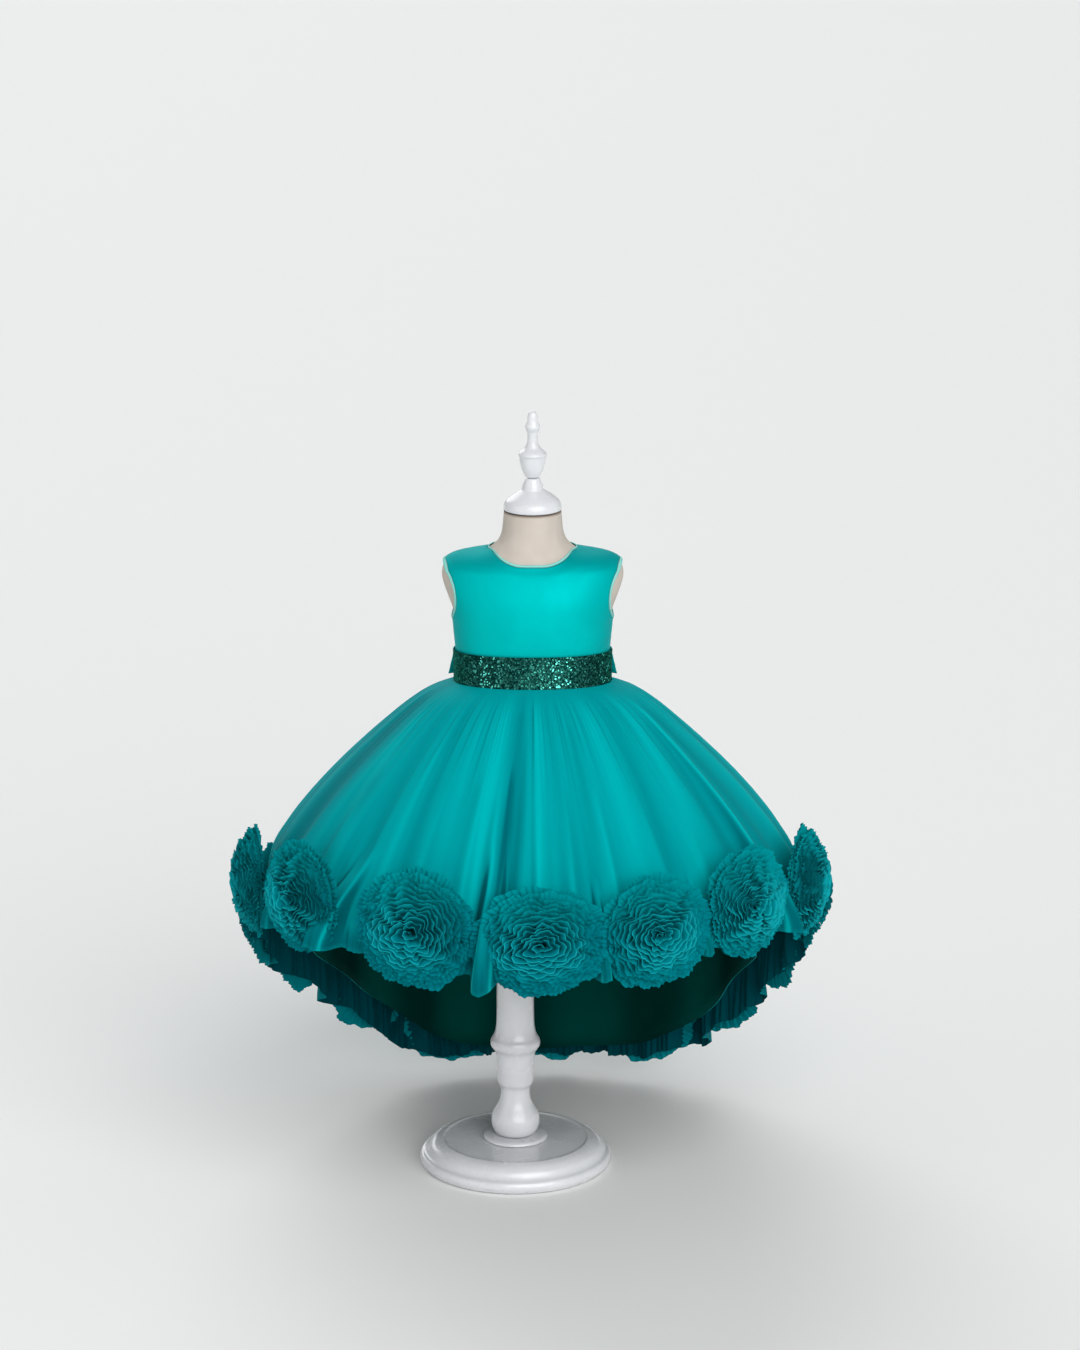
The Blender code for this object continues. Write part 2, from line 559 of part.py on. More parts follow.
def pull_tab(form_axis):
    """The zip's teardrop tab, which hangs from its origin on the hinge's axis."""
    turn = np.linspace(0, 2 * math.pi, TAB_SIDES, endpoint=False)
    wide = TAB_WIDTH / 2 * (TAB_MIDDLE - TAB_DROP * np.cos(turn))
    x, z = wide * np.sin(turn), TAB_LENGTH / 2 * (np.cos(turn) - 1) + TAB_EYE
    half = TAB_THICKNESS / 2
    rings = np.array([np.stack([x, 0 * turn + y, z], axis=-1) for y in (-half, half)])
    return solid_rings("zip_pull", rings, "zip_metal", form_axis)


# ---- The belt and the bow -----------------------------------------------------------------------
BELT_OFF = EASE + SATIN + LAYER_GAP


def build_belt(form_axis):
    """The sequined front band, and the two satin ties from the side seams to the knot."""
    side = math.degrees(SEAM_GAP / FORM_HALF_WIDTH)
    knot = math.degrees((KNOT_HALF_WIDTH + LAYER_GAP) / (form_radius(math.pi, WAIST_Z) + BELT_OFF))
    half = BODICE_ACROSS // 2 + 1
    for name, first, last, across, finish_name in (
        ("belt_front", -90 + side, 90 - side, BODICE_ACROSS, "sequins"),
        ("sash_tie_left", 90 + side, 180 - knot, half, "satin"),
        ("sash_tie_right", -180 + knot, -90 - side, half, "satin"),
    ):
        azimuth, share = np.meshgrid(bodice_columns(first, last, across), [0.0, 0.5, 1.0])
        height = waist_height(azimuth) + LAYER_GAP + BELT_HEIGHT * share
        cloth(name, off_form(azimuth, height, BELT_OFF), SATIN, finish_name, form_axis)


def build_bow(form_axis):
    """Knot, two hollow loops that lie round the back, and two tails down the skirt."""
    back = float(form_radius(math.pi, WAIST_Z)) + BELT_OFF
    knot_z = float(waist_height(math.pi)) + BELT_HEIGHT / 2
    turn = np.linspace(0, 2 * math.pi, KNOT_SIDES, endpoint=False)
    rings = []
    for share in KNOT_RINGS:
        swell = 1 - KNOT_TAPER * share**2
        x = KNOT_HALF_WIDTH * np.cos(turn) * swell
        y = back + KNOT_DEPTH / 2 * (1 + np.sin(turn) * swell) + LAYER_GAP
        rings.append(np.stack([x, y, knot_z + KNOT_HALF_HEIGHT * share + 0 * turn], axis=-1))
    solid_rings("bow_knot", np.array(rings), "satin", form_axis)
    for side_sign, name in ((1, "bow_loop_left"), (-1, "bow_loop_right")):
        build_loop(form_axis, side_sign, name, knot_z)
    for name, azimuth in TAIL_AZIMUTHS.items():
        build_tail(form_axis, f"bow_tail_{name}", azimuth)


def build_loop(form_axis, side_sign, name, knot_z):
    """One loop: a band that goes out round the back, turns at its tip, and comes back outside itself.

    It is pinched at the knot, and stands on the waist seam elsewhere.
    """
    t, share = np.meshgrid(np.linspace(0, 1, LOOP_ALONG), [0.0, 0.5, 1.0])
    out = np.sin(math.pi * t) ** BOW_LOOP_BLUNT
    back = float(form_radius(math.pi, knot_z)) + BELT_OFF
    start = 180 - math.degrees((KNOT_HALF_WIDTH + 2 * LAYER_GAP) / back)
    azimuth = np.radians(start + (BOW_TIP_AZIMUTH - start) * out)
    flare = smooth_step(t) * (1 - BOW_LOOP_FLARE + BOW_LOOP_FLARE * out)
    away = BELT_OFF + SATIN + BOW_LOOP_OFF + (BOW_LOOP_DEPTH - BOW_LOOP_OFF) * flare
    tall = BOW_LOOP_HEIGHT * (BOW_LOOP_PINCH + (1 - BOW_LOOP_PINCH) * out)
    foot = (1 - out) * (knot_z - tall / 2) + out * (waist_height(azimuth) + 2 * LAYER_GAP)
    away += BOW_LOOP_SPLAY * (1 - share) * out
    grid = at_azimuth(side_sign * azimuth, form_radius(azimuth, knot_z) + away, foot + tall * share)
    cloth(name, grid if side_sign > 0 else grid[:, ::-1], RIBBON, "satin", form_axis)


def build_tail(form_axis, name, azimuth_degrees):
    """One tail: a strip from under the knot down the back of the overskirt, cut on a slant."""
    shares, places = np.linspace(1, 0, TAIL_ALONG), np.linspace(-1, 1, TAIL_ACROSS)
    share, across = np.meshgrid(shares, places, indexing="ij")
    side_sign = np.sign(azimuth_degrees)
    drop = TAIL_START + (TAIL_LENGTH * TAIL_FALL + TAIL_SLANT * across * side_sign) * share
    middle = math.radians(azimuth_degrees) - side_sign * math.radians(TAIL_SPREAD) * np.sqrt(share)
    wide = TAIL_WIDTH * (TAIL_PINCH + (1 - TAIL_PINCH) * smooth_step(share / TAIL_OPENS_BY))
    azimuth = middle + across * wide / 2 / skirt_radius("tulle", middle, drop)
    grid = at_azimuth(azimuth, skirt_radius("tulle", azimuth, drop), waist_height(azimuth) - SKIRT_GAP - drop)
    lift = TAIL_LIFT * (TAIL_LIFT_AT_KNOT + (1 - TAIL_LIFT_AT_KNOT) * share)
    grid += lift[..., None] * TAIL_LIFT_WAY
    cloth(name, grid, RIBBON, "satin", form_axis)


# ---- The skirts ---------------------------------------------------------------------------------
def skirt_radius(layer, azimuth, drop):
    """Radius of a skirt layer before its folds, by how far it is below the layer's top edge."""
    front, back = STAND_OUT[layer]
    facing = np.cos(azimuth)
    share = 1 + (np.where(facing > 0, front, back) - 1) * facing**2
    return (form_radius(azimuth, WAIST_Z) + WAIST_OFF[layer]
            + read_table(SKIRT_COLUMNS, SKIRT_SECTIONS, layer, drop) * share)


def hem_height(layer, azimuth):
    """Height of a layer's hem."""
    return read_table(HEM_COLUMNS, HEM_HEIGHTS, layer, np.degrees(azimuth))


def tulle_fold_depth(azimuth):
    """How deep the overskirt's folds are at an azimuth: a soft trough for each row of the table."""
    fold = dict(zip(FOLD_COLUMNS, np.array(TULLE_FOLDS).T))
    away = (np.degrees(azimuth)[..., None] - fold["azimuth"] + 180) % 360 - 180
    return (fold["depth"] * np.exp(-((away / fold["half_angle"]) ** 2))).sum(axis=-1)


def satin_fold_depth(azimuth):
    """How deep the underskirt's soft folds are at an azimuth: unevenly spaced waves."""
    drift = SATIN_FOLD_DRIFT * np.sin(SATIN_DRIFTS * azimuth + 1)
    return SATIN_FOLD_DEPTH / 2 * (1 - np.cos(SATIN_FOLDS * azimuth + drift))


def skirt_panel(layer, first, last, across):
    """Grid of a skirt panel between two azimuths in degrees, from its hem up to its top edge."""
    if layer == "tulle":
        rows, fold_depth = TULLE_ROWS, tulle_fold_depth
    else:
        rows, fold_depth = SATIN_ROWS, satin_fold_depth
    azimuth, share = np.meshgrid(np.radians(np.linspace(first, last, across)), rows[::-1])
    top = waist_height(azimuth) - SKIRT_GAP
    drop = (top - hem_height(layer, azimuth)) * share
    radius = skirt_radius(layer, azimuth, drop) - fold_depth(azimuth) * smooth_step(drop / FOLDS_GROW_OVER)
    return at_azimuth(azimuth, radius, top - drop)


def build_skirts(form_axis):
    """Satin underskirt and tulle overskirt, each a front and two backs."""
    edge = math.degrees(SEAM_GAP / FORM_HALF_WIDTH)
    for layer, across, thickness in (("satin", SATIN_ACROSS, SATIN), ("tulle", TULLE_ACROSS, TULLE)):
        half = across // 2 + 1
        for name, first, last, count in (
            ("front", -90 + edge, 90 - edge, across),
            ("back_left", 90 + edge, 180 - edge, half),
            ("back_right", -180 + edge, -90 - edge, half),
        ):
            grid = skirt_panel(layer, first, last, count)
            cloth(f"{layer}_skirt_{name}", grid, thickness, layer, form_axis)


def overskirt_point(azimuth, height):
    """A point on the overskirt, before its folds."""
    drop = waist_height(azimuth) - SKIRT_GAP - height
    return at_azimuth(azimuth, skirt_radius("tulle", azimuth, drop), height)


def rosette_frame(azimuth, radius):
    """Where a rosette is sewn: the middle of its back, and the ways along the hem, up and outward."""
    step, rise = math.radians(1), 0.01
    at = azimuth + np.array([-step, step])
    before, after = overskirt_point(at, hem_height("tulle", at))
    hem = overskirt_point(np.array(azimuth), hem_height("tulle", azimuth))
    above = overskirt_point(np.array(azimuth), hem[2] + rise)
    along = (after - before) / np.linalg.norm(after - before)
    outward = np.cross(along, above - hem)
    outward /= np.linalg.norm(outward)
    up = np.cross(outward, along)
    middle = hem + up * (radius - ROSETTE_BELOW_HEM)
    middle_azimuth = math.atan2(middle[0], -middle[1])
    seat = overskirt_point(np.array(middle_azimuth), middle[2])
    return seat + outward * (TULLE + ROSETTE_OFF_TULLE), along, up, outward


def build_rosettes(form_axis):
    """The round gathered rosettes, sewn along the overskirt's hem: low domes with a wavy rim."""
    turn = np.linspace(0, 2 * math.pi, ROSETTE_SIDES, endpoint=False)
    for number, row in enumerate(ROSETTES, 1):
        rosette = dict(zip(ROSETTE_COLUMNS, row))
        middle, along, up, outward = rosette_frame(math.radians(rosette["azimuth"]), rosette["radius"])
        wave = 1 + ROSETTE_WAVE * np.cos(turn * ROSETTE_WAVES + number)
        rings = []
        for radius, depth in DOME_OUTLINE:
            wavy = rosette["radius"] * radius * wave
            flat = wavy[:, None] * (np.cos(turn)[:, None] * along + np.sin(turn)[:, None] * up)
            rings.append(middle + flat + outward * ROSETTE_DEPTH * depth)
        solid_rings(f"rosette_{number:02d}", np.array(rings), "rosette_tulle", form_axis)


def main():
    """Builds the gown, its form and its stand."""
    clear_scene()
    form_axis = bpy.data.objects.new("form_axis", None)
    form_axis.location = (FORM_X, 0, 0)
    bpy.context.scene.collection.objects.link(form_axis)
    build_stand(form_axis)
    build_form(form_axis)
    build_bodice(form_axis)
    build_belt(form_axis)
    build_skirts(form_axis)
    build_rosettes(form_axis)
    build_bow(form_axis)


main()
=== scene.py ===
"""Finished looks for a child's high-low ball gown on a limbless dress form with a turned stand.

Metres, +Z up. The front faces -Y and +X is the wearer's left. An azimuth is an angle round the form's upright
axis: 0 at the middle of the front and 90 degrees at +X. Every piece of cloth is a surface worked out from the
same sizes as its solid, as a grid with rows from the bottom up and columns by rising azimuth.
"""

import logging
import math
from dataclasses import dataclass, field
from enum import Enum

import bmesh
import bpy
import numpy as np
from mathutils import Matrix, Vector


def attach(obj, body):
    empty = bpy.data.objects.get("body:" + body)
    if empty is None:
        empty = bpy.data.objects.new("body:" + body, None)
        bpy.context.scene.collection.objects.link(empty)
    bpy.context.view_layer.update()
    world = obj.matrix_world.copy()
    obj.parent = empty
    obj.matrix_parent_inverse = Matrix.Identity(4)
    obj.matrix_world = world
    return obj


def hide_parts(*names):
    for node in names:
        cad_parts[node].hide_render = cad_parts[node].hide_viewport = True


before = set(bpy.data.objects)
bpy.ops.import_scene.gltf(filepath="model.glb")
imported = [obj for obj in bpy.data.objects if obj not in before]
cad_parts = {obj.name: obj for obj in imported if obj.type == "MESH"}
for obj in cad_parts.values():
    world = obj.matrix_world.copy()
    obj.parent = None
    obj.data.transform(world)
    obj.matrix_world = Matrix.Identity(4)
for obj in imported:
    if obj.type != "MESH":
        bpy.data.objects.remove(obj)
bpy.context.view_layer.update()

Array = np.ndarray
Colour = tuple[float, float, float, float]
Profile = tuple[tuple[float, float], ...]
Waves = tuple[tuple[float, float, float], ...]
Piece, Material = bpy.types.Object, bpy.types.Material
Node, Socket, Tree = bpy.types.Node, bpy.types.NodeSocket, bpy.types.NodeTree
LOG = logging.getLogger("gown")
GOWN_BODY = "gown_and_stand"
UV_NAME = "cloth"
STEP = 1e-4  # what slopes are taken over, in metres or radians


class Layer(Enum):
    """The two layers of the skirt."""

    TULLE = "tulle"
    SATIN = "satin"


class LampKind(Enum):
    """The kinds of lamp."""

    FAR = "SUN"
    BOX = "AREA"


class Hold(Enum):
    """How a sheet of cloth is held."""

    HUNG = "hung"
    GATHERED = "gathered"
    FOLDED = "folded"
    STRETCHED = "stretched"


# ---- Numbers ----
def smooth_step(t: Array) -> Array:
    """A smooth rise: 3tt - 2ttt, held at 0 below 0 and at 1 above 1."""
    t = np.clip(t, 0.0, 1.0)
    return t * t * (3 - 2 * t)


def bell(away: Array, half: Array | float) -> Array:
    """A soft bump: e to the minus (away / half) squared."""
    return np.exp(-((away / half) ** 2))


def ramp(value: Array, start: Array | float, end: Array | float) -> Array:
    """A smooth rise from 0 at the start to 1 at the end."""
    return smooth_step((value - start) / (end - start))


def sines(turn: Array, waves: Waves) -> Array:
    """A sum of waves: each is its size times the sine of its count times the turn plus its start."""
    return sum(size * np.sin(count * turn + start) for size, count, start in waves)


def degrees_between(azimuth: Array, degrees: float) -> Array:
    """How many degrees azimuths in radians are from one in degrees, from -180 to 180."""
    return (np.degrees(azimuth) - degrees + 180) % 360 - 180


@dataclass(frozen=True)
class Table:
    """Rows of numbers under named columns, sorted by the first column."""

    columns: tuple[str, ...]
    rows: tuple[tuple[float, ...], ...]

    def column(self, name: str) -> Array:
        """One column's numbers."""
        return np.array(self.rows, float)[:, self.columns.index(name)]

    def at(self, name: str, where: Array | float) -> Array:
        """Reads a column between its rows.

        Cubic pieces join the rows. The slope at a row is the weighted harmonic mean of the slopes on its two
        sides, or 0 where they differ in sign, so the curve never overshoots a row.

        Args:
            name: the column to read.
            where: values of the first column.

        Returns:
            The column's values there.
        """
        known, values = self.column(self.columns[0]), self.column(name)
        steps = np.diff(known)
        slopes = np.diff(values) / steps
        before, after = slopes[:-1], slopes[1:]
        same_way = before * after > 0
        weight_a, weight_b = 2 * steps[1:] + steps[:-1], steps[1:] + 2 * steps[:-1]
        mixed = weight_a / np.where(same_way, before, 1) + weight_b / np.where(same_way, after, 1)
        blend = np.where(same_way, (weight_a + weight_b) / mixed, 0.0)
        tangents = np.concatenate([slopes[:1], blend, slopes[-1:]])
        at = np.clip(np.asarray(where, float), known[0], known[-1])
        row = np.clip(np.searchsorted(known, at) - 1, 0, len(steps) - 1)
        t = (at - known[row]) / steps[row]
        rise = 3 * t**2 - 2 * t**3
        ends = (1 - rise) * values[row] + rise * values[row + 1]
        return ends + steps[row] * (t * (1 - t) ** 2 * tangents[row] - t * t * (1 - t) * tangents[row + 1])


# ---- Meshes ----
@dataclass(frozen=True)
class Surface:
    """A grid of points, with the values that a finish reads at each of them.

    Attributes:
        points: rows by columns by 3.
        round_it: whether the last column joins the first.
        values: for each attribute's name, rows by columns numbers.
    """

    points: Array
    round_it: bool = False
    values: dict[str, Array] = field(default_factory=dict)

    def wrapped(self) -> Array:
        """The grid, with its first column again at its end if it closes."""
        return np.concatenate([self.points, self.points[:, :1]], axis=1) if self.round_it else self.points

    def faces(self) -> Array:
        """Quads between neighbouring points, in the order that points them outwards.

        Returns:
            Four point numbers for each face.
        """
        rows, columns = self.points.shape[:2]
        row, column = np.meshgrid(np.arange(rows - 1), np.arange(columns - (not self.round_it)), indexing="ij")
        beside = (column + 1) % columns
        corners = (row * columns + column, row * columns + beside,
                   (row + 1) * columns + beside, (row + 1) * columns + column)
        return np.stack(corners, axis=-1).reshape(-1, 4)

    def row_lengths(self) -> Array:
        """Length of each row."""
        return np.linalg.norm(np.diff(self.wrapped(), axis=1), axis=2).sum(axis=1)

    def column_lengths(self) -> Array:
        """Length of each column."""
        return np.linalg.norm(np.diff(self.points, axis=0), axis=2).sum(axis=0)

    def area(self) -> float:
        """The grid's area: half the cross product of the two diagonals of each quad, added up.

        Returns:
            Square metres.
        """
        grid = self.wrapped()
        crossed = np.cross(grid[1:, 1:] - grid[:-1, :-1], grid[1:, :-1] - grid[:-1, 1:])
        return float(np.linalg.norm(crossed, axis=2).sum() / 2)

    def flat_places(self) -> Array:
        """Where each face corner is on the flat cloth, in metres: along the longest row and up the middle column.

        Returns:
            Two numbers for each face corner, in the faces' order.
        """
        grid = self.wrapped()
        longest = int(np.argmax(self.row_lengths()))
        across = np.linalg.norm(np.diff(grid[longest], axis=0), axis=1)
        up = np.linalg.norm(np.diff(grid[:, grid.shape[1] // 2], axis=0), axis=1)
        u, v = np.meshgrid(np.concatenate([[0], np.cumsum(across)]), np.concatenate([[0], np.cumsum(up)]))
        places = np.stack([u, v], axis=-1)
        quads = (places[:-1, :-1], places[:-1, 1:], places[1:, 1:], places[1:, :-1])
        return np.stack(quads, axis=2).reshape(-1, 2)


def link(mesh: bpy.types.Mesh, materials: list[Material]) -> Piece:
    """Puts a mesh into the scene under its own name, smooth and with its materials.

    Args:
        mesh: the mesh.
        materials: its materials, in slot order.

    Returns:
        The object that holds it.
    """
    for material in materials:
        mesh.materials.append(material)
    mesh.shade_smooth()
    obj = bpy.data.objects.new(mesh.name, mesh)
    bpy.context.scene.collection.objects.link(obj)
    return obj


def mesh_piece(name: str, points: Array, faces: Array, materials: list[Material]) -> Piece:
    """A piece from points and faces that all have the same number of corners.

    Args:
        name: the new piece's name.
        points: points by 3.
        faces: faces by corners, as point numbers.
        materials: its materials, in slot order.

    Returns:
        The piece.
    """
    mesh = bpy.data.meshes.new(name)
    corners = faces.shape[1]
    mesh.vertices.add(len(points))
    mesh.vertices.foreach_set("co", np.asarray(points, np.float32).ravel())
    mesh.loops.add(faces.size)
    mesh.loops.foreach_set("vertex_index", np.asarray(faces, np.int32).ravel())
    mesh.polygons.add(len(faces))
    mesh.polygons.foreach_set("loop_start", np.arange(0, faces.size, corners, dtype=np.int32))
    mesh.update(calc_edges=True)
    return link(mesh, materials)


def cloth_piece(name: str, surfaces: list[Surface], materials: list[Material],
                wall: float = 0.0) -> Piece:
    """One piece from one or more surfaces, with their flat places as its UV map and their values as attributes.

    Args:
        name: the piece's name.
        surfaces: its grids.
        materials: its outer finish and, where its inside differs, the inner one.
        wall: thickness that the outer surface gets inwards, or 0 for a single layer.

    Returns:
        The piece.
    """
    counts = np.cumsum([0] + [s.points.shape[0] * s.points.shape[1] for s in surfaces])
    points = np.concatenate([s.points.reshape(-1, 3) for s in surfaces])
    faces = np.concatenate([s.faces() + start for s, start in zip(surfaces, counts)])
    obj = mesh_piece(name, points, faces, materials)
    flat = np.concatenate([s.flat_places() for s in surfaces])
    obj.data.uv_layers.new(name=UV_NAME).data.foreach_set("uv", flat.astype(np.float32).ravel())
    for key in surfaces[0].values:
        attribute = obj.data.attributes.new(key, "FLOAT", "POINT")
        numbers = np.concatenate([s.values[key].ravel() for s in surfaces])
        attribute.data.foreach_set("value", numbers.astype(np.float32))
    if wall:
        solid = obj.modifiers.new("Wall", "SOLIDIFY")
        solid.thickness = wall
        solid.offset = -1.0
        solid.material_offset = len(materials) - 1
    return obj


def close_poles(obj: Piece) -> None:
    """Joins the points of each end ring, which all lie in one place, so that the piece is closed.

    Args:
        obj: the piece.
    """
    mesh = bmesh.new()
    mesh.from_mesh(obj.data)
    bmesh.ops.remove_doubles(mesh, verts=mesh.verts, dist=1e-7)
    mesh.to_mesh(obj.data)
    mesh.free()


def settle(obj: Piece, slot: str, *nodes: str, body: str = GOWN_BODY) -> Piece:
    """Makes a piece ride on its body and stand for its nodes.

    Args:
        obj: the piece.
        slot: not used.
        *nodes: the CAD nodes that it stands for.
        body: the body that it rides on.

    Returns:
        The same piece.
    """
    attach(obj, body)
    if nodes:
        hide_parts(*nodes)
    LOG.info("%s: %d faces", obj.name, len(obj.data.polygons))
    return obj


def declare_sheet(surfaces: list[Surface],
                  width: float = 0.0) -> None:
    """Works out the cut of a piece of cloth, its longest row, its longest column and its own area, and keeps none of
    it.

    Several strips in one piece are worked out as one strip of their whole length, as wide as their area over it.

    Args:
        surfaces: its grids.
        width: the strip's own width, where its longest row is a slanting end.
    """
    width = width or sum(float(s.row_lengths().max()) for s in surfaces)
    area = sum(s.area() for s in surfaces)
    length = float(surfaces[0].column_lengths().max()) if len(surfaces) == 1 else area / width


# ---- Finishes ----
def srgb(red: int, green: int, blue: int) -> Colour:
    """A colour from screen values of 0 to 255: each is divided by 255 and raised to 2.2."""
    return (*(float((value / 255) ** 2.2) for value in (red, green, blue)), 1.0)


@dataclass
class Nodes:
    """A short way to add shader nodes to a tree and join them."""

    tree: Tree

    def add(self, kind: str, **settings: object) -> Node:
        """Adds a node and sets its properties.

        Args:
            kind: the node's type.
            **settings: its properties by name.

        Returns:
            The node.
        """
        node = self.tree.nodes.new(kind)
        for key, value in settings.items():
            setattr(node, key, value)
        return node

    def feed(self, socket: Socket, value: object) -> None:
        """Joins an output to an input, or sets the input to a plain value.

        Args:
            socket: the input.
            value: a plain value or another node's output.
        """
        if isinstance(value, Socket):
            self.tree.links.new(value, socket)
        else:
            socket.default_value = value

    def wired(self, kind: str, values: tuple, **settings: object) -> Socket:
        """Adds a node and feeds its inputs in order.

        Args:
            kind: the node's type.
            values: plain values or outputs.
            **settings: its properties by name.

        Returns:
            Its first output.
        """
        node = self.add(kind, **settings)
        for socket, value in zip(node.inputs, values):
            self.feed(socket, value)
        return node.outputs[0]

    def math(self, operation: str, *values: object) -> Socket:
        """The result of a Math node."""
        return self.wired("ShaderNodeMath", values, operation=operation)

    def group(self, tree: Tree, *values: object) -> Socket:
        """The result of a node group."""
        return self.wired("ShaderNodeGroup", values, node_tree=tree)

    def spread(self, value: object, low: float, high: float, start: float = 0, end: float = 1) -> Socket:
        """A number moved from the range start to end to the range low to high, and held inside it."""
        return self.wired("ShaderNodeMapRange", (value, start, end, low, high))

    def mix(self, share: object, low: object, high: object) -> Socket:
        """A colour between two others.

        Args:
            share: the second colour's share, from 0 to 1.
            low: the first colour.
            high: the second colour.

        Returns:
            The mixed colour's output.
        """
        node = self.add("ShaderNodeMix", data_type="RGBA")
        for index, value in ((0, share), (6, low), (7, high)):
            self.feed(node.inputs[index], value)
        return node.outputs[2]

    def flat_place(self) -> Socket:
        """Where a point is on the flat cloth, in metres."""
        return self.add("ShaderNodeUVMap", uv_map=UV_NAME).outputs[0]

    def object_place(self) -> Socket:
        """Where a point is on the object, in metres."""
        return self.add("ShaderNodeTexCoord").outputs["Object"]

    def value_of(self, name: str) -> Socket:
        """A piece's own attribute."""
        return self.add("ShaderNodeAttribute", attribute_name=name).outputs["Fac"]


class SharedEffects:
    """The node groups that more than one finish uses, each made once."""

    def __init__(self) -> None:
        """Makes the groups."""
        self.weave = self._weave()
        self.mottle = self._mottle()

    @staticmethod
    def _start(name: str, inputs: list[tuple[str, str]], output: str) -> tuple[Nodes, list, Socket]:
        """Begins a group with named inputs and one named output.

        Args:
            name: the group's name.
            inputs: the name and type of each input.
            output: the output's name.

        Returns:
            The group's nodes, its inputs and its output's socket.
        """
        tree = bpy.data.node_groups.new(name, "ShaderNodeTree")
        for label, kind in inputs:
            tree.interface.new_socket(label, in_out="INPUT", socket_type=kind)
        tree.interface.new_socket(output, in_out="OUTPUT", socket_type="NodeSocketFloat")
        nodes = Nodes(tree)
        given = nodes.add("NodeGroupInput").outputs
        return nodes, list(given), nodes.add("NodeGroupOutput").inputs[0]

    def _weave(self) -> Tree:
        """Crossed threads: the sine of each flat place over the pitch, multiplied, from 0 to 1.

        Returns:
            The group.
        """
        inputs = [("Place", "NodeSocketVector"), ("Threads per metre", "NodeSocketFloat")]
        nodes, (place, threads, *_), out = self._start("thread_weave", inputs, "Height")
        split = nodes.add("ShaderNodeSeparateXYZ")
        nodes.feed(split.inputs[0], place)
        turns = nodes.math("MULTIPLY", threads, 2 * math.pi)
        across = nodes.math("SINE", nodes.math("MULTIPLY", split.outputs[0], turns))
        along = nodes.math("SINE", nodes.math("MULTIPLY", split.outputs[1], turns))
        nodes.feed(out, nodes.math("MULTIPLY_ADD", nodes.math("MULTIPLY", across, along), 0.5, 0.5))
        return nodes.tree

    def _mottle(self) -> Tree:
        """Soft uneven patches from 0 to 1.

        Returns:
            The group.
        """
        inputs = [("Place", "NodeSocketVector"), ("Patches per metre", "NodeSocketFloat")]
        nodes, (place, patches, *_), out = self._start("soft_mottle", inputs, "Value")
        noise = nodes.add("ShaderNodeTexNoise")
        for label, value in (("Vector", place), ("Scale", patches), ("Detail", 3.0)):
            nodes.feed(noise.inputs[label], value)
        nodes.feed(out, nodes.spread(noise.outputs[0], 0.0, 1.0, start=0.3, end=0.7))
        return nodes.tree


def start_material(name: str, **settings: object) -> tuple[Material, Nodes, Node]:
    """A new material with its Principled shader, whose sockets get the settings by name.

    Args:
        name: the material's name.
        **settings: the shader's values, by socket name in lower case.

    Returns:
        The material, a builder for its nodes, and its shader.
    """
    material = bpy.data.materials.new(name)
    material.use_nodes = True
    shader = material.node_tree.nodes["Principled BSDF"]
    for label, value in settings.items():
        shader.inputs[label.replace("_", " ").title().replace("Ior", "IOR")].default_value = value
    return material, Nodes(material.node_tree), shader


def add_bump(nodes: Nodes, shader: Node, height: object, distance: float, strength: float = 1.0) -> None:
    """Gives a shader relief from a height of 0 to 1 over a distance in metres.

    Args:
        nodes: the material's nodes.
        shader: its shader.
        height: the height from 0 to 1.
        distance: metres from 0 to 1.
        strength: how much of it shows, from 0 to 1.
    """
    bump = nodes.add("ShaderNodeBump")
    bump.inputs["Strength"].default_value = strength
    bump.inputs["Distance"].default_value = distance
    nodes.feed(bump.inputs["Height"], height)
    nodes.feed(shader.inputs["Normal"], bump.outputs[0])


@dataclass(frozen=True)
class SatinFinish:
    """Smooth satin: fine threads, a soft sheen in its own colour, and painted shade where it faces up and in folds.
    """

    name: str
    colour: Colour
    shade: Colour
    gloss: Colour
    roughness: float = 0.48
    smoother: float = 0.03
    rougher: float = 0.04
    threads: float = 2600.0
    patches: float = 22.0
    painted_shade_share: float = 0.6
    patch_share: float = 0.12

    def material(self, effects: SharedEffects) -> Material:
        """Builds the material, which reads the attribute tilt: the share of painted shade at each point.

        Args:
            effects: the shared groups.

        Returns:
            The new material.
        """
        material, nodes, shader = start_material(self.name, metallic=0.25, specular_ior_level=0.03,
                                                 specular_tint=self.gloss,
                                                 sheen_weight=0.12, sheen_roughness=0.35, sheen_tint=self.gloss)
        place = nodes.flat_place()
        mottle = nodes.group(effects.mottle, place, self.patches)
        patchy = nodes.math("MULTIPLY", mottle, self.patch_share)
        # Painted shade from the tilt value, plus random patches.
        shaded = nodes.math("MULTIPLY_ADD", nodes.value_of("tilt"), self.painted_shade_share, patchy)
        nodes.feed(shader.inputs["Base Color"], nodes.mix(shaded, self.colour, self.shade))
        roughness = nodes.spread(mottle, self.roughness - self.smoother, self.roughness + self.rougher)
        nodes.feed(shader.inputs["Roughness"], roughness)
        weave = nodes.group(effects.weave, place, self.threads)
        add_bump(nodes, shader, weave, distance=0.00004, strength=0.5)
        return material


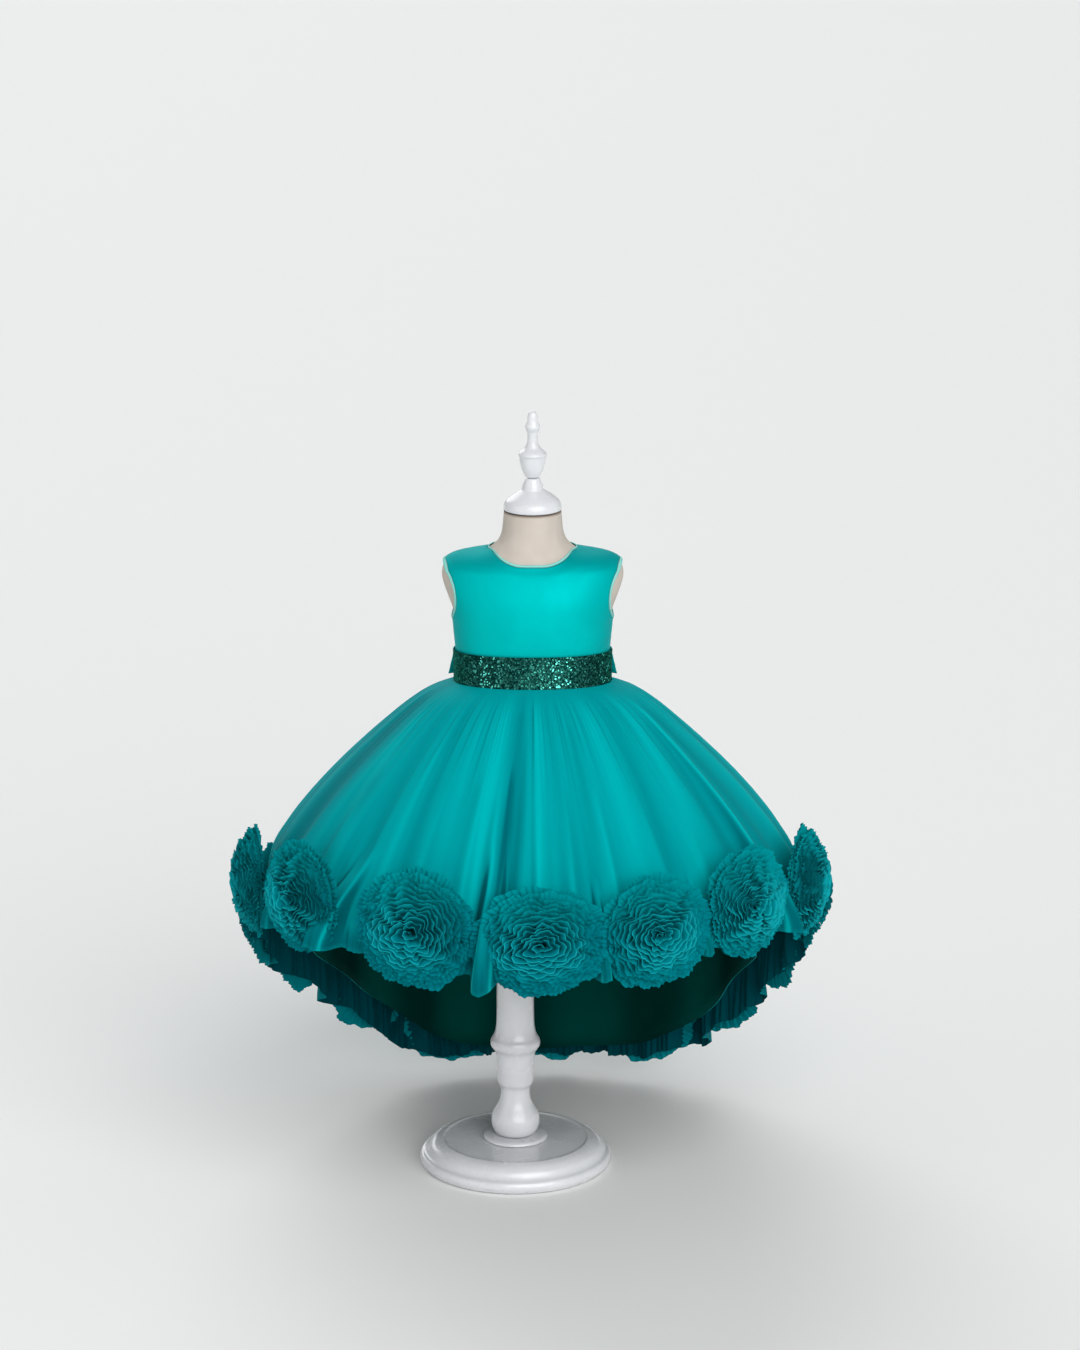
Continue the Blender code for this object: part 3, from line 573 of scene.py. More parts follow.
@dataclass(frozen=True)
class TulleFinish:
    """Tulle in several layers: a fine net, with painted highlights on the crests of its folds and painted shade on
    their flanks and feet.
    """

    name: str
    # deep: the painted shade's colour, and the colour of the net's threads.
    deep: Colour
    colour: Colour
    crest_highlight: Colour
    # inside: the colour of the painted shade on the inner face and where pleats turn in.
    inside: Colour
    holes: float = 700.0
    thread_share: float = 0.1

    def material(self, effects: SharedEffects) -> Material:
        """Builds the material, which reads the attributes crest, flank, hem and shade.

        Args:
            effects: the shared groups.

        Returns:
            The new material.
        """
        material, nodes, shader = start_material(self.name, roughness=0.62, specular_ior_level=0.02,
                                                 specular_tint=self.crest_highlight, sheen_weight=0.08,
                                                 sheen_roughness=0.5, sheen_tint=self.crest_highlight)
        place = nodes.flat_place()
        net = nodes.group(effects.weave, place, self.holes)
        # Painted highlight on the crests of the folds, then painted shade on their flanks.
        flank_shade = nodes.value_of("flank_shade")
        painted_light = nodes.mix(nodes.value_of("crest_highlight"), self.colour, self.crest_highlight)
        shaded = nodes.mix(flank_shade, painted_light, self.deep)
        # The hem value paints a highlight along cut edges and pleat rims; the shade value paints shade where pleats
        # turn in.
        outer = nodes.mix(nodes.value_of("hem"), nodes.mix(nodes.value_of("shade"), shaded, self.inside), self.crest_highlight)
        # Painted shade: the inner face takes the darker inside colour.
        from_inside = nodes.add("ShaderNodeNewGeometry").outputs["Backfacing"]
        netted = nodes.mix(nodes.spread(net, self.thread_share, 0.0), outer, self.deep)
        nodes.feed(shader.inputs["Base Color"], nodes.mix(from_inside, netted, self.inside))
        add_bump(nodes, shader, net, distance=0.0001, strength=0.4)
        return material


@dataclass(frozen=True)
class RuffleFinish:
    """Gathered tulle of the rosettes: painted shade in its crevices, painted highlights along its cut edges, like the
    skirt at the top.
    """

    name: str
    crevice_shade: Colour
    colour: Colour
    # edge: the painted highlight's colour along the cut edges.
    edge: Colour
    skirt: Colour
    lift_from: float = 0.15
    lift_to: float = 0.8
    patches: float = 60.0
    patch_share: float = 0.35
    edge_from: float = 0.9
    fade_share: float = 0.92
    holes: float = 700.0

    def material(self, effects: SharedEffects) -> Material:
        """Builds the material, which reads the attributes rise, 1 at a cut edge, and faded; rise sets the painted
        shade and highlight.

        Args:
            effects: the shared groups.

        Returns:
            The new material.
        """
        material, nodes, shader = start_material(self.name, roughness=0.75, specular_ior_level=0.04,
                                                 specular_tint=self.edge, sheen_weight=0.5,
                                                 sheen_roughness=0.5, sheen_tint=self.edge)
        place, rise = nodes.flat_place(), nodes.value_of("rise")
        # Painted shade low in the folds, lightening with the rise value.
        lift = nodes.spread(rise, 0, 1, start=self.lift_from, end=self.lift_to)
        body = nodes.mix(lift, self.crevice_shade, self.colour)
        mottle = nodes.group(effects.mottle, place, self.patches)
        patchy = nodes.mix(nodes.math("MULTIPLY", mottle, self.patch_share), body, self.crevice_shade)
        # Painted highlight along the cut edges.
        edged = nodes.mix(nodes.spread(rise, 0, 1, start=self.edge_from, end=1.0), patchy, self.edge)
        fade = nodes.math("MULTIPLY", nodes.value_of("faded"), self.fade_share)
        nodes.feed(shader.inputs["Base Color"], nodes.mix(fade, edged, self.skirt))
        weave = nodes.group(effects.weave, place, self.holes)
        add_bump(nodes, shader, weave, distance=0.0001, strength=0.5)
        return material


@dataclass(frozen=True)
class SequinFinish:
    """Sequins: hard and shiny, each with a tone that differs at random, and painted glints on some."""

    name: str
    dark: Colour
    # light: the painted glint's colour.
    light: Colour
    dark_roughness: float = 0.3
    light_roughness: float = 0.16

    def material(self, effects: SharedEffects) -> Material:
        """Builds the material, which reads the attribute tone of each sequin.

        Args:
            effects: not used.

        Returns:
            The new material.
        """
        material, nodes, shader = start_material(self.name, metallic=0.9, specular_tint=self.light)
        tone = nodes.value_of("tone")
        nodes.feed(shader.inputs["Base Color"], nodes.mix(tone, self.dark, self.light))
        nodes.feed(shader.inputs["Roughness"], nodes.spread(tone, self.dark_roughness, self.light_roughness))
        return material


@dataclass(frozen=True)
class WovenFinish:
    """Matt woven cloth, such as a form's cover or a binding."""

    name: str
    colour: Colour
    shade: Colour
    threads: float
    # groove: the colour of the painted shadow under the neck cap.
    groove: Colour = srgb(132, 120, 110)
    patches: float = 30.0
    patch_share: float = 0.5
    thread_share: float = 0.3

    def material(self, effects: SharedEffects) -> Material:
        """Builds the material, which reads the attribute seam, 1 in the painted shadow under the neck cap, in the
        groove colour.

        Args:
            effects: the shared groups.

        Returns:
            The new material.
        """
        material, nodes, shader = start_material(self.name, roughness=0.85, specular_ior_level=0.2,
                                                 specular_tint=self.colour)
        place = nodes.flat_place()
        mottle = nodes.group(effects.mottle, place, self.patches)
        weave = nodes.group(effects.weave, place, self.threads)
        patchy = nodes.math("MULTIPLY", mottle, self.patch_share)
        threads = nodes.math("MULTIPLY_ADD", weave, self.thread_share, patchy)
        cloth = nodes.mix(threads, self.colour, self.shade)
        nodes.feed(shader.inputs["Base Color"], nodes.mix(nodes.value_of("seam"), cloth, self.groove))
        add_bump(nodes, shader, weave, distance=0.00015, strength=0.6)
        return material


@dataclass(frozen=True)
class PaintFinish:
    """Glossy paint on wood or metal: faint brush unevenness and a clear coat."""

    name: str
    colour: Colour
    worn: Colour
    metallic: float = 0.0
    patches: float = 25.0
    brush_marks: float = 160.0
    worn_roughness: float = 0.32
    roughness: float = 0.22

    def material(self, effects: SharedEffects) -> Material:
        """Builds the material.

        Args:
            effects: the shared groups.

        Returns:
            The new material.
        """
        material, nodes, shader = start_material(self.name, metallic=self.metallic, coat_weight=0.5,
                                                 coat_roughness=0.12)
        place = nodes.object_place()
        mottle = nodes.group(effects.mottle, place, self.patches)
        nodes.feed(shader.inputs["Base Color"], nodes.mix(mottle, self.worn, self.colour))
        nodes.feed(shader.inputs["Roughness"], nodes.spread(mottle, self.worn_roughness, self.roughness))
        brushed = nodes.group(effects.mottle, place, self.brush_marks)
        add_bump(nodes, shader, brushed, distance=0.0002, strength=0.25)
        return material


class Wardrobe:
    """Every finish of the gown, its form and its stand, built once."""

    def __init__(self) -> None:
        """Builds the materials."""
        effects = SharedEffects()
        gloss = srgb(0, 235, 228)
        self.satin = SatinFinish("satin_cloth", srgb(0, 182, 180), srgb(0, 130, 135), gloss).material(effects)
        # A darker copy of the satin for the skirts' inner faces: painted shade.
        self.satin_inside_shaded = SatinFinish("satin_reverse_shaded", srgb(0, 70, 64), srgb(0, 24, 22), srgb(0, 96, 88),
                                        roughness=0.5).material(effects)
        self.tulle = TulleFinish("tulle_net", srgb(0, 104, 112), srgb(0, 142, 148), srgb(0, 178, 180),
                                 srgb(0, 66, 74)).material(effects)
        self.ruffle = RuffleFinish("gathered_tulle", srgb(0, 86, 96), srgb(0, 124, 134), srgb(30, 166, 174),
                                   srgb(0, 140, 146)).material(effects)
        self.sequin = SequinFinish("sequin_foil", srgb(0, 44, 40), srgb(105, 235, 215)).material(effects)
        self.sequin_ground = WovenFinish("sequin_ground", srgb(0, 54, 48), srgb(0, 42, 37), 900).material(effects)
        self.binding = WovenFinish("pale_binding", srgb(150, 222, 212), srgb(118, 204, 196), 1800).material(effects)
        self.cover = WovenFinish("cream_cover", srgb(206, 196, 186), srgb(194, 182, 170), 1500).material(effects)
        self.paint = PaintFinish("white_gloss", srgb(220, 221, 224), srgb(208, 209, 212)).material(effects)
        self.lacquer = PaintFinish("teal_lacquer", srgb(40, 176, 172), srgb(28, 158, 156), 0.6).material(effects)


# ---- The shapes that the pieces share ----
@dataclass(frozen=True)
class Form:
    """The dress form's own shape, and where the gown's seams lie on it."""

    axis_x: float = 0.022
    waist_z: float = 0.6335
    waist_tilt: float = 0.116
    sections: Table = Table(("height", "half_width", "front", "back", "squareness"), (
        (0.5, 0.08, 0.069, 0.067, 2.2), (0.506, 0.087, 0.074, 0.072, 2.2), (0.52, 0.0905, 0.077, 0.075, 2.2),
        (0.56, 0.093, 0.0785, 0.0745, 2.2), (0.6, 0.092, 0.0765, 0.07, 2.2), (0.64, 0.09, 0.072, 0.065, 2.2),
        (0.667, 0.0905, 0.072, 0.065, 2.2), (0.697, 0.093, 0.0735, 0.0675, 2.2), (0.712, 0.0945, 0.073, 0.069, 2.2),
        (0.727, 0.0985, 0.071, 0.069, 2.25), (0.742, 0.104, 0.068, 0.0675, 2.3), (0.755, 0.1085, 0.064, 0.065, 2.3),
        (0.767, 0.111, 0.059, 0.062, 2.3), (0.775, 0.11, 0.055, 0.059, 2.3), (0.782, 0.1055, 0.0515, 0.0545, 2.1),
        (0.787, 0.0985, 0.0492, 0.0505, 1.85), (0.791, 0.0885, 0.0476, 0.0475, 1.65),
        (0.794, 0.0765, 0.0464, 0.0458, 1.55), (0.7962, 0.064, 0.0456, 0.0448, 1.6),
        (0.7985, 0.0545, 0.0448, 0.0442, 1.75), (0.804, 0.0462, 0.043, 0.043, 1.95),
        (0.809, 0.0418, 0.041, 0.0415, 2.0), (0.82, 0.0376, 0.0378, 0.038, 2.0), (0.8455, 0.035, 0.035, 0.035, 2.0),
    ))

    def place(self, azimuth: Array, radius: Array, height: Array) -> Array:
        """Points at an azimuth, a radius and a height round the form's axis."""
        sideways = self.axis_x + radius * np.sin(azimuth)
        return np.stack([sideways, -radius * np.cos(azimuth), height + 0 * radius], axis=-1)

    def radius(self, azimuth: Array, height: Array | float) -> Array:
        """Radius of the cover: an oval of power squareness, whose front and back have their own depths.

        Args:
            azimuth: radians.
            height: metres.

        Returns:
            Metres from the form's axis.
        """
        half_width, front, back, power = (self.sections.at(name, height) for name in self.sections.columns[1:])
        depth = np.where(np.cos(azimuth) > 0, front, back)
        return ((np.abs(np.cos(azimuth)) / depth) ** power
                + (np.abs(np.sin(azimuth)) / half_width) ** power) ** (-1 / power)

    def surface(self, azimuth: Array, height: Array) -> Array:
        """Points on the cover."""
        return self.place(azimuth, self.radius(azimuth, height), height)

    def off(self, azimuth: Array, height: Array, distance: Array | float) -> Array:
        """Points a distance off the cover, along the cross product of its two directions.

        Args:
            azimuth: radians.
            height: metres.
            distance: metres outward.

        Returns:
            Points by 3.
        """
        height = np.minimum(height, self.sections.rows[-1][0] - 10 * STEP)
        across = self.surface(azimuth + STEP, height) - self.surface(azimuth - STEP, height)
        up = self.surface(azimuth, height + STEP) - self.surface(azimuth, height - STEP)
        normal = np.cross(across, up)
        normal /= np.linalg.norm(normal, axis=-1, keepdims=True)
        return self.surface(azimuth, height) + normal * np.asarray(distance)[..., None]

    def waist(self, azimuth: Array) -> Array:
        """Height of the waist seam, in a plane that rises to the front."""
        return self.waist_z + self.waist_tilt * self.radius(azimuth, self.waist_z) * np.cos(azimuth)

    def further_up(self, azimuth: Array, height: Array, distance: Array | float) -> Array:
        """The height that is a distance further up along the cover: distance over the slope's length."""
        slope = (self.radius(azimuth, height + STEP) - self.radius(azimuth, height - STEP)) / (2 * STEP)
        return height + distance / np.sqrt(1 + slope**2)

    def even_heights(self, azimuth: float, bottom: float, top: float, count: int) -> Array:
        """Heights from the bottom to the top, evenly spaced along the cover at one azimuth.

        Args:
            azimuth: radians.
            bottom: the lowest height.
            top: the highest height.
            count: how many heights.

        Returns:
            The heights, rising.
        """
        samples = 300
        heights = np.linspace(bottom, top, samples)
        radii = self.radius(np.full_like(heights, azimuth), heights)
        lengths = np.concatenate([[0.0], np.cumsum(np.hypot(np.diff(radii), np.diff(heights)))])
        return np.interp(np.linspace(0, lengths[-1], count), lengths, heights)


FORM = Form()
EASE = 0.0036
SATIN, TULLE = 0.0014, 0.0012
LAYER_GAP, SKIRT_GAP = 0.001, 0.0016
CLOTH = 0.0006  # the thickness that the finished satin shows


@dataclass(frozen=True)
class Fold:
    """One fold of a skirt: a trough where its depth is above 0, or a ridge.

    Attributes:
        azimuth: degrees at the hem.
        half_angle: degrees from its middle to where it is a third as deep.
        depth: metres at the hem.
        starts: the share of the way down to the hem where it begins.
        lean: degrees that its top is further round than its foot.
        flat: how square its section is: 2 for a soft bell, 4 for a pleat with a flat back.
        narrow: for a pleat, how wide it is at its top as a share of its width at the hem.
    """

    azimuth: float
    half_angle: float
    depth: float
    starts: float = 0.0
    lean: float = 0.0
    flat: int = 2
    narrow: float = 0.45

    def section(self, azimuth: Array, share: Array) -> Array:
        """Its outline across, from 0 to 1: e to the minus (away / half width) to the power flat.

        A pleat widens downwards, with the fourth power of the share.

        Args:
            azimuth: radians.
            share: 0 at the waist to 1 at the hem.

        Returns:
            A share of the fold's depth.
        """
        away = degrees_between(azimuth, self.azimuth) - self.lean * (1 - share)
        half = self.half_angle * (1 if self.flat == 2 else self.narrow + (1 - self.narrow) * share**4)
        return np.exp(-((away / half) ** self.flat))

    def at(self, azimuth: Array, share: Array) -> Array:
        """Its depth: its section times a smooth rise to the hem."""
        return self.depth * self.section(azimuth, share) * ramp(share, self.starts, 1.0)


@dataclass(frozen=True)
class SkirtShape:
    """The two skirt layers' shape: how far they stand out, their hems and their folds."""

    sections: Table = Table(("drop", "tulle", "satin"), (
        (0.0, 0.0, 0.0), (0.004, 0.011, 0.007), (0.012, 0.03, 0.022), (0.027, 0.0525, 0.044), (0.053, 0.0835, 0.07),
        (0.085, 0.1185, 0.1), (0.117, 0.1505, 0.128), (0.156, 0.185, 0.155), (0.19, 0.2105, 0.171),
        (0.23, 0.233, 0.181), (0.29, 0.243, 0.187), (0.4, 0.244, 0.19), (0.62, 0.241, 0.193),
    ))
    hems: Table = Table(("azimuth", "tulle", "satin"), (
        (-180, 0.038, 0.05), (-162, 0.04, 0.06), (-150, 0.055, 0.088), (-140, 0.1, 0.125), (-130, 0.142, 0.162),
        (-120, 0.188, 0.198), (-110, 0.226, 0.232), (-100, 0.264, 0.266), (-90, 0.305, 0.304), (-76, 0.337, 0.345),
        (-57, 0.349, 0.368), (-28, 0.335, 0.374), (0, 0.328, 0.372), (28, 0.335, 0.374), (51, 0.35, 0.366),
        (76, 0.338, 0.33), (90, 0.312, 0.278), (100, 0.281, 0.252), (110, 0.224, 0.214), (120, 0.168, 0.17),
        (130, 0.12, 0.128), (140, 0.075, 0.096), (150, 0.05, 0.072), (162, 0.04, 0.058), (180, 0.038, 0.05),
    ))
    large_folds: Table = Table(("azimuth", "half_angle", "depth"), (
        (-168, 5, 0.01), (-152, 6, 0.008), (-138, 4, 0.011), (-123, 6, 0.008), (-108, 5, 0.01), (-92, 5, 0.008),
        (-76, 5, 0.008), (-62, 4, 0.007), (-49, 5, 0.009), (-36, 4, 0.006), (-26, 4, 0.008), (-15, 3, 0.007),
        (-5.6, 3, 0.015), (6.3, 3, 0.006), (14.5, 3, 0.008), (27, 5, 0.008), (39, 4, 0.007), (50, 4, 0.007),
        (60, 4, 0.012), (75, 5, 0.008), (90, 5, 0.008), (104, 4, 0.011), (119, 6, 0.008), (134, 5, 0.01),
        (149, 5, 0.008), (163, 4, 0.011), (178, 5, 0.007),
    ))
    small_folds: tuple[Fold, ...] = tuple(Fold(*row) for row in (
        (-11.4, 1.9, -0.007, 0.1), (-17.8, 1.6, -0.0025, 0.15), (-20.9, 1.5, 0.0022, 0.1, -1),
        (-30.4, 1.8, -0.0026, 0.2), (-42.5, 1.7, 0.0024, 0.3), (-45.3, 1.5, -0.0024, 0.1),
        (-51.4, 1.3, -0.002, 0.25, 2), (-53.7, 1.4, 0.0026, 0.2, 2), (-58.9, 1.6, -0.0028, 0.1),
        (-67.0, 2.0, 0.0024, 0.3), (-71.0, 1.8, -0.0026, 0.15), (-84.0, 2.2, 0.0026, 0.2), (-0.6, 1.2, 0.0026, 0.1),
        (1.6, 1.1, -0.0018, 0.2), (10.4, 1.5, -0.0028, 0.05), (18.6, 1.2, -0.002, 0.3, -1), (21.4, 1.3, -0.0022, 0.1),
        (32.5, 1.8, 0.0022, 0.35), (35.5, 1.8, -0.0028, 0.15), (44.5, 1.6, 0.0022, 0.2, -2),
        (64.3, 1.7, -0.008, 0.02, 0), (68.0, 1.9, 0.0034, 0.1), (71.0, 1.6, -0.0026, 0.3), (82.0, 2.2, -0.003, 0.1),
        (97.0, 2.0, 0.0026, 0.25), (111.0, 2.2, -0.0034, 0.1, 2), (114.0, 1.6, 0.0022, 0.4),
        (126.5, 2.0, -0.003, 0.2), (129.5, 1.5, 0.0022, 0.05), (141.5, 2.2, -0.0036, 0.15, -2),
        (145.0, 1.6, 0.0024, 0.35), (156.0, 2.0, -0.0032, 0.05), (159.0, 1.4, 0.002, 0.3),
        (170.5, 2.1, -0.0034, 0.15, 1), (-175.0, 1.9, 0.0026, 0.25), (-160.5, 2.2, -0.0036, 0.1),
        (-157.0, 1.5, 0.0022, 0.35), (-145.0, 2.1, -0.0032, 0.2, 2), (-131.0, 2.0, -0.003, 0.1),
        (-127.5, 1.6, 0.0024, 0.3), (-115.5, 2.2, -0.0034, 0.15), (-100.0, 2.0, -0.003, 0.25, 1),
        (-97.0, 1.5, 0.0022, 0.05), (-7.4, 1.0, 0.008, 0.22), (-4.4, 2.0, -0.0085, 0.2),
    ))
    # Each lay raises or sinks the net a little, and its tone is painted: lighter on ridges as painted highlight,
    # darker where the net lies double, partly as denser net and partly as painted shade.
    lays: Table = Table(("azimuth", "half_angle", "tone", "lean", "starts", "ends"), (
        (-174, 3.0, -0.5, 1, 0.0, 1.0), (-166, 3.5, 0.5, 0, 0.05, 1.0), (-158, 2.5, -0.4, -1, 0.1, 1.0),
        (-150, 3.0, 0.45, 0, 0.0, 1.0), (-142, 3.5, -0.55, 2, 0.0, 0.8), (-133, 2.5, 0.35, 0, 0.2, 1.0),
        (-125, 3.0, -0.45, -2, 0.0, 1.0), (-117, 3.5, 0.55, 0, 0.0, 1.0), (-108, 2.5, -0.5, 1, 0.1, 1.0),
        (-100, 2.5, 0.3, 0, 0.0, 0.7), (-92, 3.5, -0.5, 0, 0.0, 1.0), (-83, 3.0, 0.4, -2, 0.0, 1.0),
        (-77, 7.5, -1.25, -1, 0.0, 1.0), (-66.0, 1.8, 0.2, 0, 0.15, 1.0), (-56.5, 2.0, -0.6, -4, 0.3, 1.0),
        (-52.0, 2.4, 0.45, -14, 0.05, 0.9), (-45.5, 3.0, -0.4, -5, 0.0, 0.8), (-39.0, 2.2, 0.35, -1, 0.15, 1.0),
        (-33.8, 2.8, -0.5, -4, 0.0, 1.0), (-24.0, 2.2, 0.35, -3, 0.05, 1.0), (-19.8, 1.4, -0.35, 0, 0.25, 1.0),
        (-14.2, 3.0, 0.8, -2, 0.0, 1.0), (-7.7, 0.8, -0.9, 0, 0.22, 1.0), (-7.0, 3.2, -0.8, 0, 0.0, 0.4),
        (2.6, 2.4, 0.5, 0, 0.0, 1.0), (9.8, 1.5, -0.3, 0, 0.0, 0.5), (17.2, 2.0, -0.42, 2, 0.06, 1.0),
        (21.8, 1.2, 0.25, 0, 0.3, 1.0), (27.0, 3.4, 0.5, 4, 0.0, 1.0), (34.6, 2.6, -0.48, 8, 0.0, 1.0),
        (43.0, 3.4, 0.5, 12, 0.0, 1.0), (51.5, 3.0, -0.42, 12, 0.08, 1.0), (64.5, 1.5, 1.0, 0, 0.03, 1.0),
        (70.5, 3.0, -0.65, 0, 0.05, 1.0), (79, 3.0, 0.35, 2, 0.0, 1.0), (88, 3.0, -0.45, 0, 0.1, 1.0),
        (96, 3.0, 0.45, -1, 0.0, 1.0), (104, 2.5, -0.5, 0, 0.0, 1.0), (112, 2.2, 0.3, 2, 0.2, 1.0),
        (120, 3.5, -0.45, 0, 0.0, 0.8), (129, 3.0, 0.5, -2, 0.0, 1.0), (137, 2.5, -0.4, 0, 0.05, 1.0),
        (145, 2.2, 0.3, 1, 0.15, 1.0), (153, 3.2, -0.55, 0, 0.0, 1.0), (161, 3.4, 0.5, 0, 0.0, 1.0),
        (169, 2.4, -0.45, -1, 0.1, 1.0), (177, 2.2, 0.35, 0, 0.0, 1.0),
    ))
    pleats: tuple[Fold, ...] = tuple(Fold(*row) for row in (
        (-10.8, 3.0, -0.041, 0.46, 3.2, 4, 0.75), (-50.6, 2.7, -0.036, 0.56, 11.0, 4, 0.95),
        (16.6, 1.5, -0.024, 0.6, -1.0, 4), (41.2, 1.2, -0.018, 0.66, 0.5, 4), (64.2, 2.4, -0.024, 0.6, -1.5, 4),
        (86.0, 2.2, -0.02, 0.62, 1.0, 4), (104.0, 3.0, -0.026, 0.66, -1.0, 4), (121.0, 2.0, -0.02, 0.74, 0.5, 4),
        (141.0, 4.0, -0.03, 0.72, 1.5, 4), (164.5, 2.6, -0.024, 0.78, -1.0, 4), (-173.5, 3.4, -0.028, 0.76, 1.0, 4),
        (-149.0, 3.2, -0.026, 0.74, -1.5, 4), (-127.0, 2.2, -0.02, 0.72, 0.5, 4), (-108.5, 3.0, -0.026, 0.68, 1.0, 4),
        (-90.5, 2.0, -0.02, 0.62, -0.5, 4), (-70.0, 1.8, -0.018, 0.64, 0.5, 4),
    ))

    tulle_fit: tuple[float, float, float] = (0.87, 1.03, 0.0072)  # front share, back share, off at the waist
    satin_fit: tuple[float, float, float] = (0.93, 1.11, 0.0034)
    satin_depth: float = 0.0055
    satin_waves: float = 11.0
    satin_drift: Waves = ((0.8, 3, 1.0),)
    folds_full_at: float = 0.25
    lay_lead: float = 0.02
    lay_fade_in: float = 0.12
    lay_fade_out: float = 0.25
    lay_rise: float = 0.0022
    gather_size: float = 0.00044
    gather_least: float = 0.08
    gather_drift: Waves = ((2.2, 5, 0.7), (1.3, 13, 2.1))
    gather_waves: Waves = ((0.8, 97, 1.0), (0.4, 161, -1.4), (0.9, 53, 0.8))  # size, count, share of the drift
    ripples: float = 236.0
    ripple_size: float = 0.0011
    ripple_more_behind: float = 0.001
    ripple_drift: Waves = ((2.4, 7, 0.4), (1.5, 19, 0.0))
    slow_waves: float = 67.0
    slow_size: float = 0.0036
    slow_drift: Waves = ((1.7, 5, 0.0), (1.1, 11, 0.0))
    pleat_full: float = 0.02

    def radius(self, layer: Layer, azimuth: Array, drop: Array) -> Array:
        """Radius of a layer before its folds.

        The form's own radius at the waist, plus what the layer stands out at that drop, times the share that it
        has at the front or back, blended by the cosine of the azimuth squared.

        Args:
            layer: which layer.
            azimuth: radians.
            drop: metres below the waist.

        Returns:
            Metres from the form's axis.
        """
        front, back, off = self.tulle_fit if layer is Layer.TULLE else self.satin_fit
        facing = np.cos(azimuth)
        share = 1 + (np.where(facing > 0, front, back) - 1) * facing**2
        return FORM.radius(azimuth, FORM.waist_z) + off + self.sections.at(layer.value, drop) * share

    def hem(self, layer: Layer, azimuth: Array) -> Array:
        """Height of a layer's hem."""
        return self.hems.at(layer.value, np.degrees(azimuth))

    def large_fold(self, layer: Layer, azimuth: Array) -> Array:
        """Depth of a layer's largest folds: bells for the tulle, and unevenly spaced waves for the satin.

        Args:
            layer: which layer.
            azimuth: radians.

        Returns:
            Metres inward.
        """
        if layer is Layer.SATIN:
            return self.satin_depth * (1 - np.cos(self.satin_waves * azimuth + sines(azimuth, self.satin_drift)))
        rows = zip(*(self.large_folds.column(name) for name in self.large_folds.columns))
        return sum(depth * bell(degrees_between(azimuth, middle), half) for middle, half, depth in rows)

    def pleat(self, azimuth: Array, share: Array) -> Array:
        """How far out a pleat stands at a point, from 0 to 1, where 1 is its full relief or more."""
        return np.clip(sum(-fold.at(azimuth, share) for fold in self.pleats) / self.pleat_full, 0, 1)

    def pleat_outline(self, azimuth: Array, share: Array) -> Array:
        """The section of the nearest pleat, from 0 beside it to 1 at its middle."""
        return np.maximum.reduce([fold.section(azimuth, share) for fold in self.pleats])

    def lay(self, azimuth: Array, share: Array) -> Array:
        """How the net lies: above 0 on its broad ridges, and below 0 where it falls in and lies double.

        Args:
            azimuth: radians.
            share: 0 at the waist to 1 at the hem.

        Returns:
            The sum of the lays, mostly from -1 to 1.
        """
        net = np.zeros_like(share)
        for middle, half, tone, lean, starts, ends in self.lays.rows:
            first = starts - self.lay_lead
            fades_in = ramp(share, first, first + self.lay_fade_in)
            fades_out = 1 - ramp(share, ends, ends + self.lay_fade_out)
            net += tone * fades_in * fades_out * bell(degrees_between(azimuth, middle) - lean * (1 - share), half)
        return net

    def gathers(self, azimuth: Array, drop: Array) -> Array:
        """The small pleats that spring from the waist seam and die out downwards: three sines that drift.

        Args:
            azimuth: radians.
            drop: metres below the waist.

        Returns:
            Metres inward.
        """
        drift = sines(azimuth, self.gather_drift)
        waves = sum(size * np.sin(count * azimuth + part * drift) for size, count, part in self.gather_waves)
        fade = self.gather_least + (1 - self.gather_least) * bell(drop - 0.03, 0.06)
        return self.gather_size * ramp(drop, 0.0, 0.02) * fade * waves

    def folds(self, layer: Layer, azimuth: Array, drop: Array, share: Array) -> Array:
        """How far in from its plain radius a layer is: its large folds, and the tulle's small ones and gathers.

        The tulle's loose hem has fine ripples all round, and slow waves as well behind. Both drift unevenly.

        Args:
            layer: which layer.
            azimuth: radians.
            drop: metres below the waist.
            share: 0 at the waist to 1 at the hem.

        Returns:
            Metres inward.
        """
        inward = self.large_fold(layer, azimuth) * ramp(drop, 0.0, self.folds_full_at)
        if layer is Layer.SATIN:
            return inward
        behind = ramp(-np.cos(azimuth), 0.0, 0.6)
        ripples = np.sin(self.ripples * azimuth + sines(azimuth, self.ripple_drift))
        waves = self.slow_size * behind * np.sin(self.slow_waves * azimuth + sines(azimuth, self.slow_drift))
        loose = (self.ripple_size + self.ripple_more_behind * behind) * ripples + waves
        inward = inward + sum(fold.at(azimuth, share) for fold in self.small_folds + self.pleats)
        inward = inward + self.gathers(azimuth, drop) + loose * ramp(share, 0.84, 1.0)
        return inward - self.lay_rise * self.lay(azimuth, share)


SKIRT = SkirtShape()


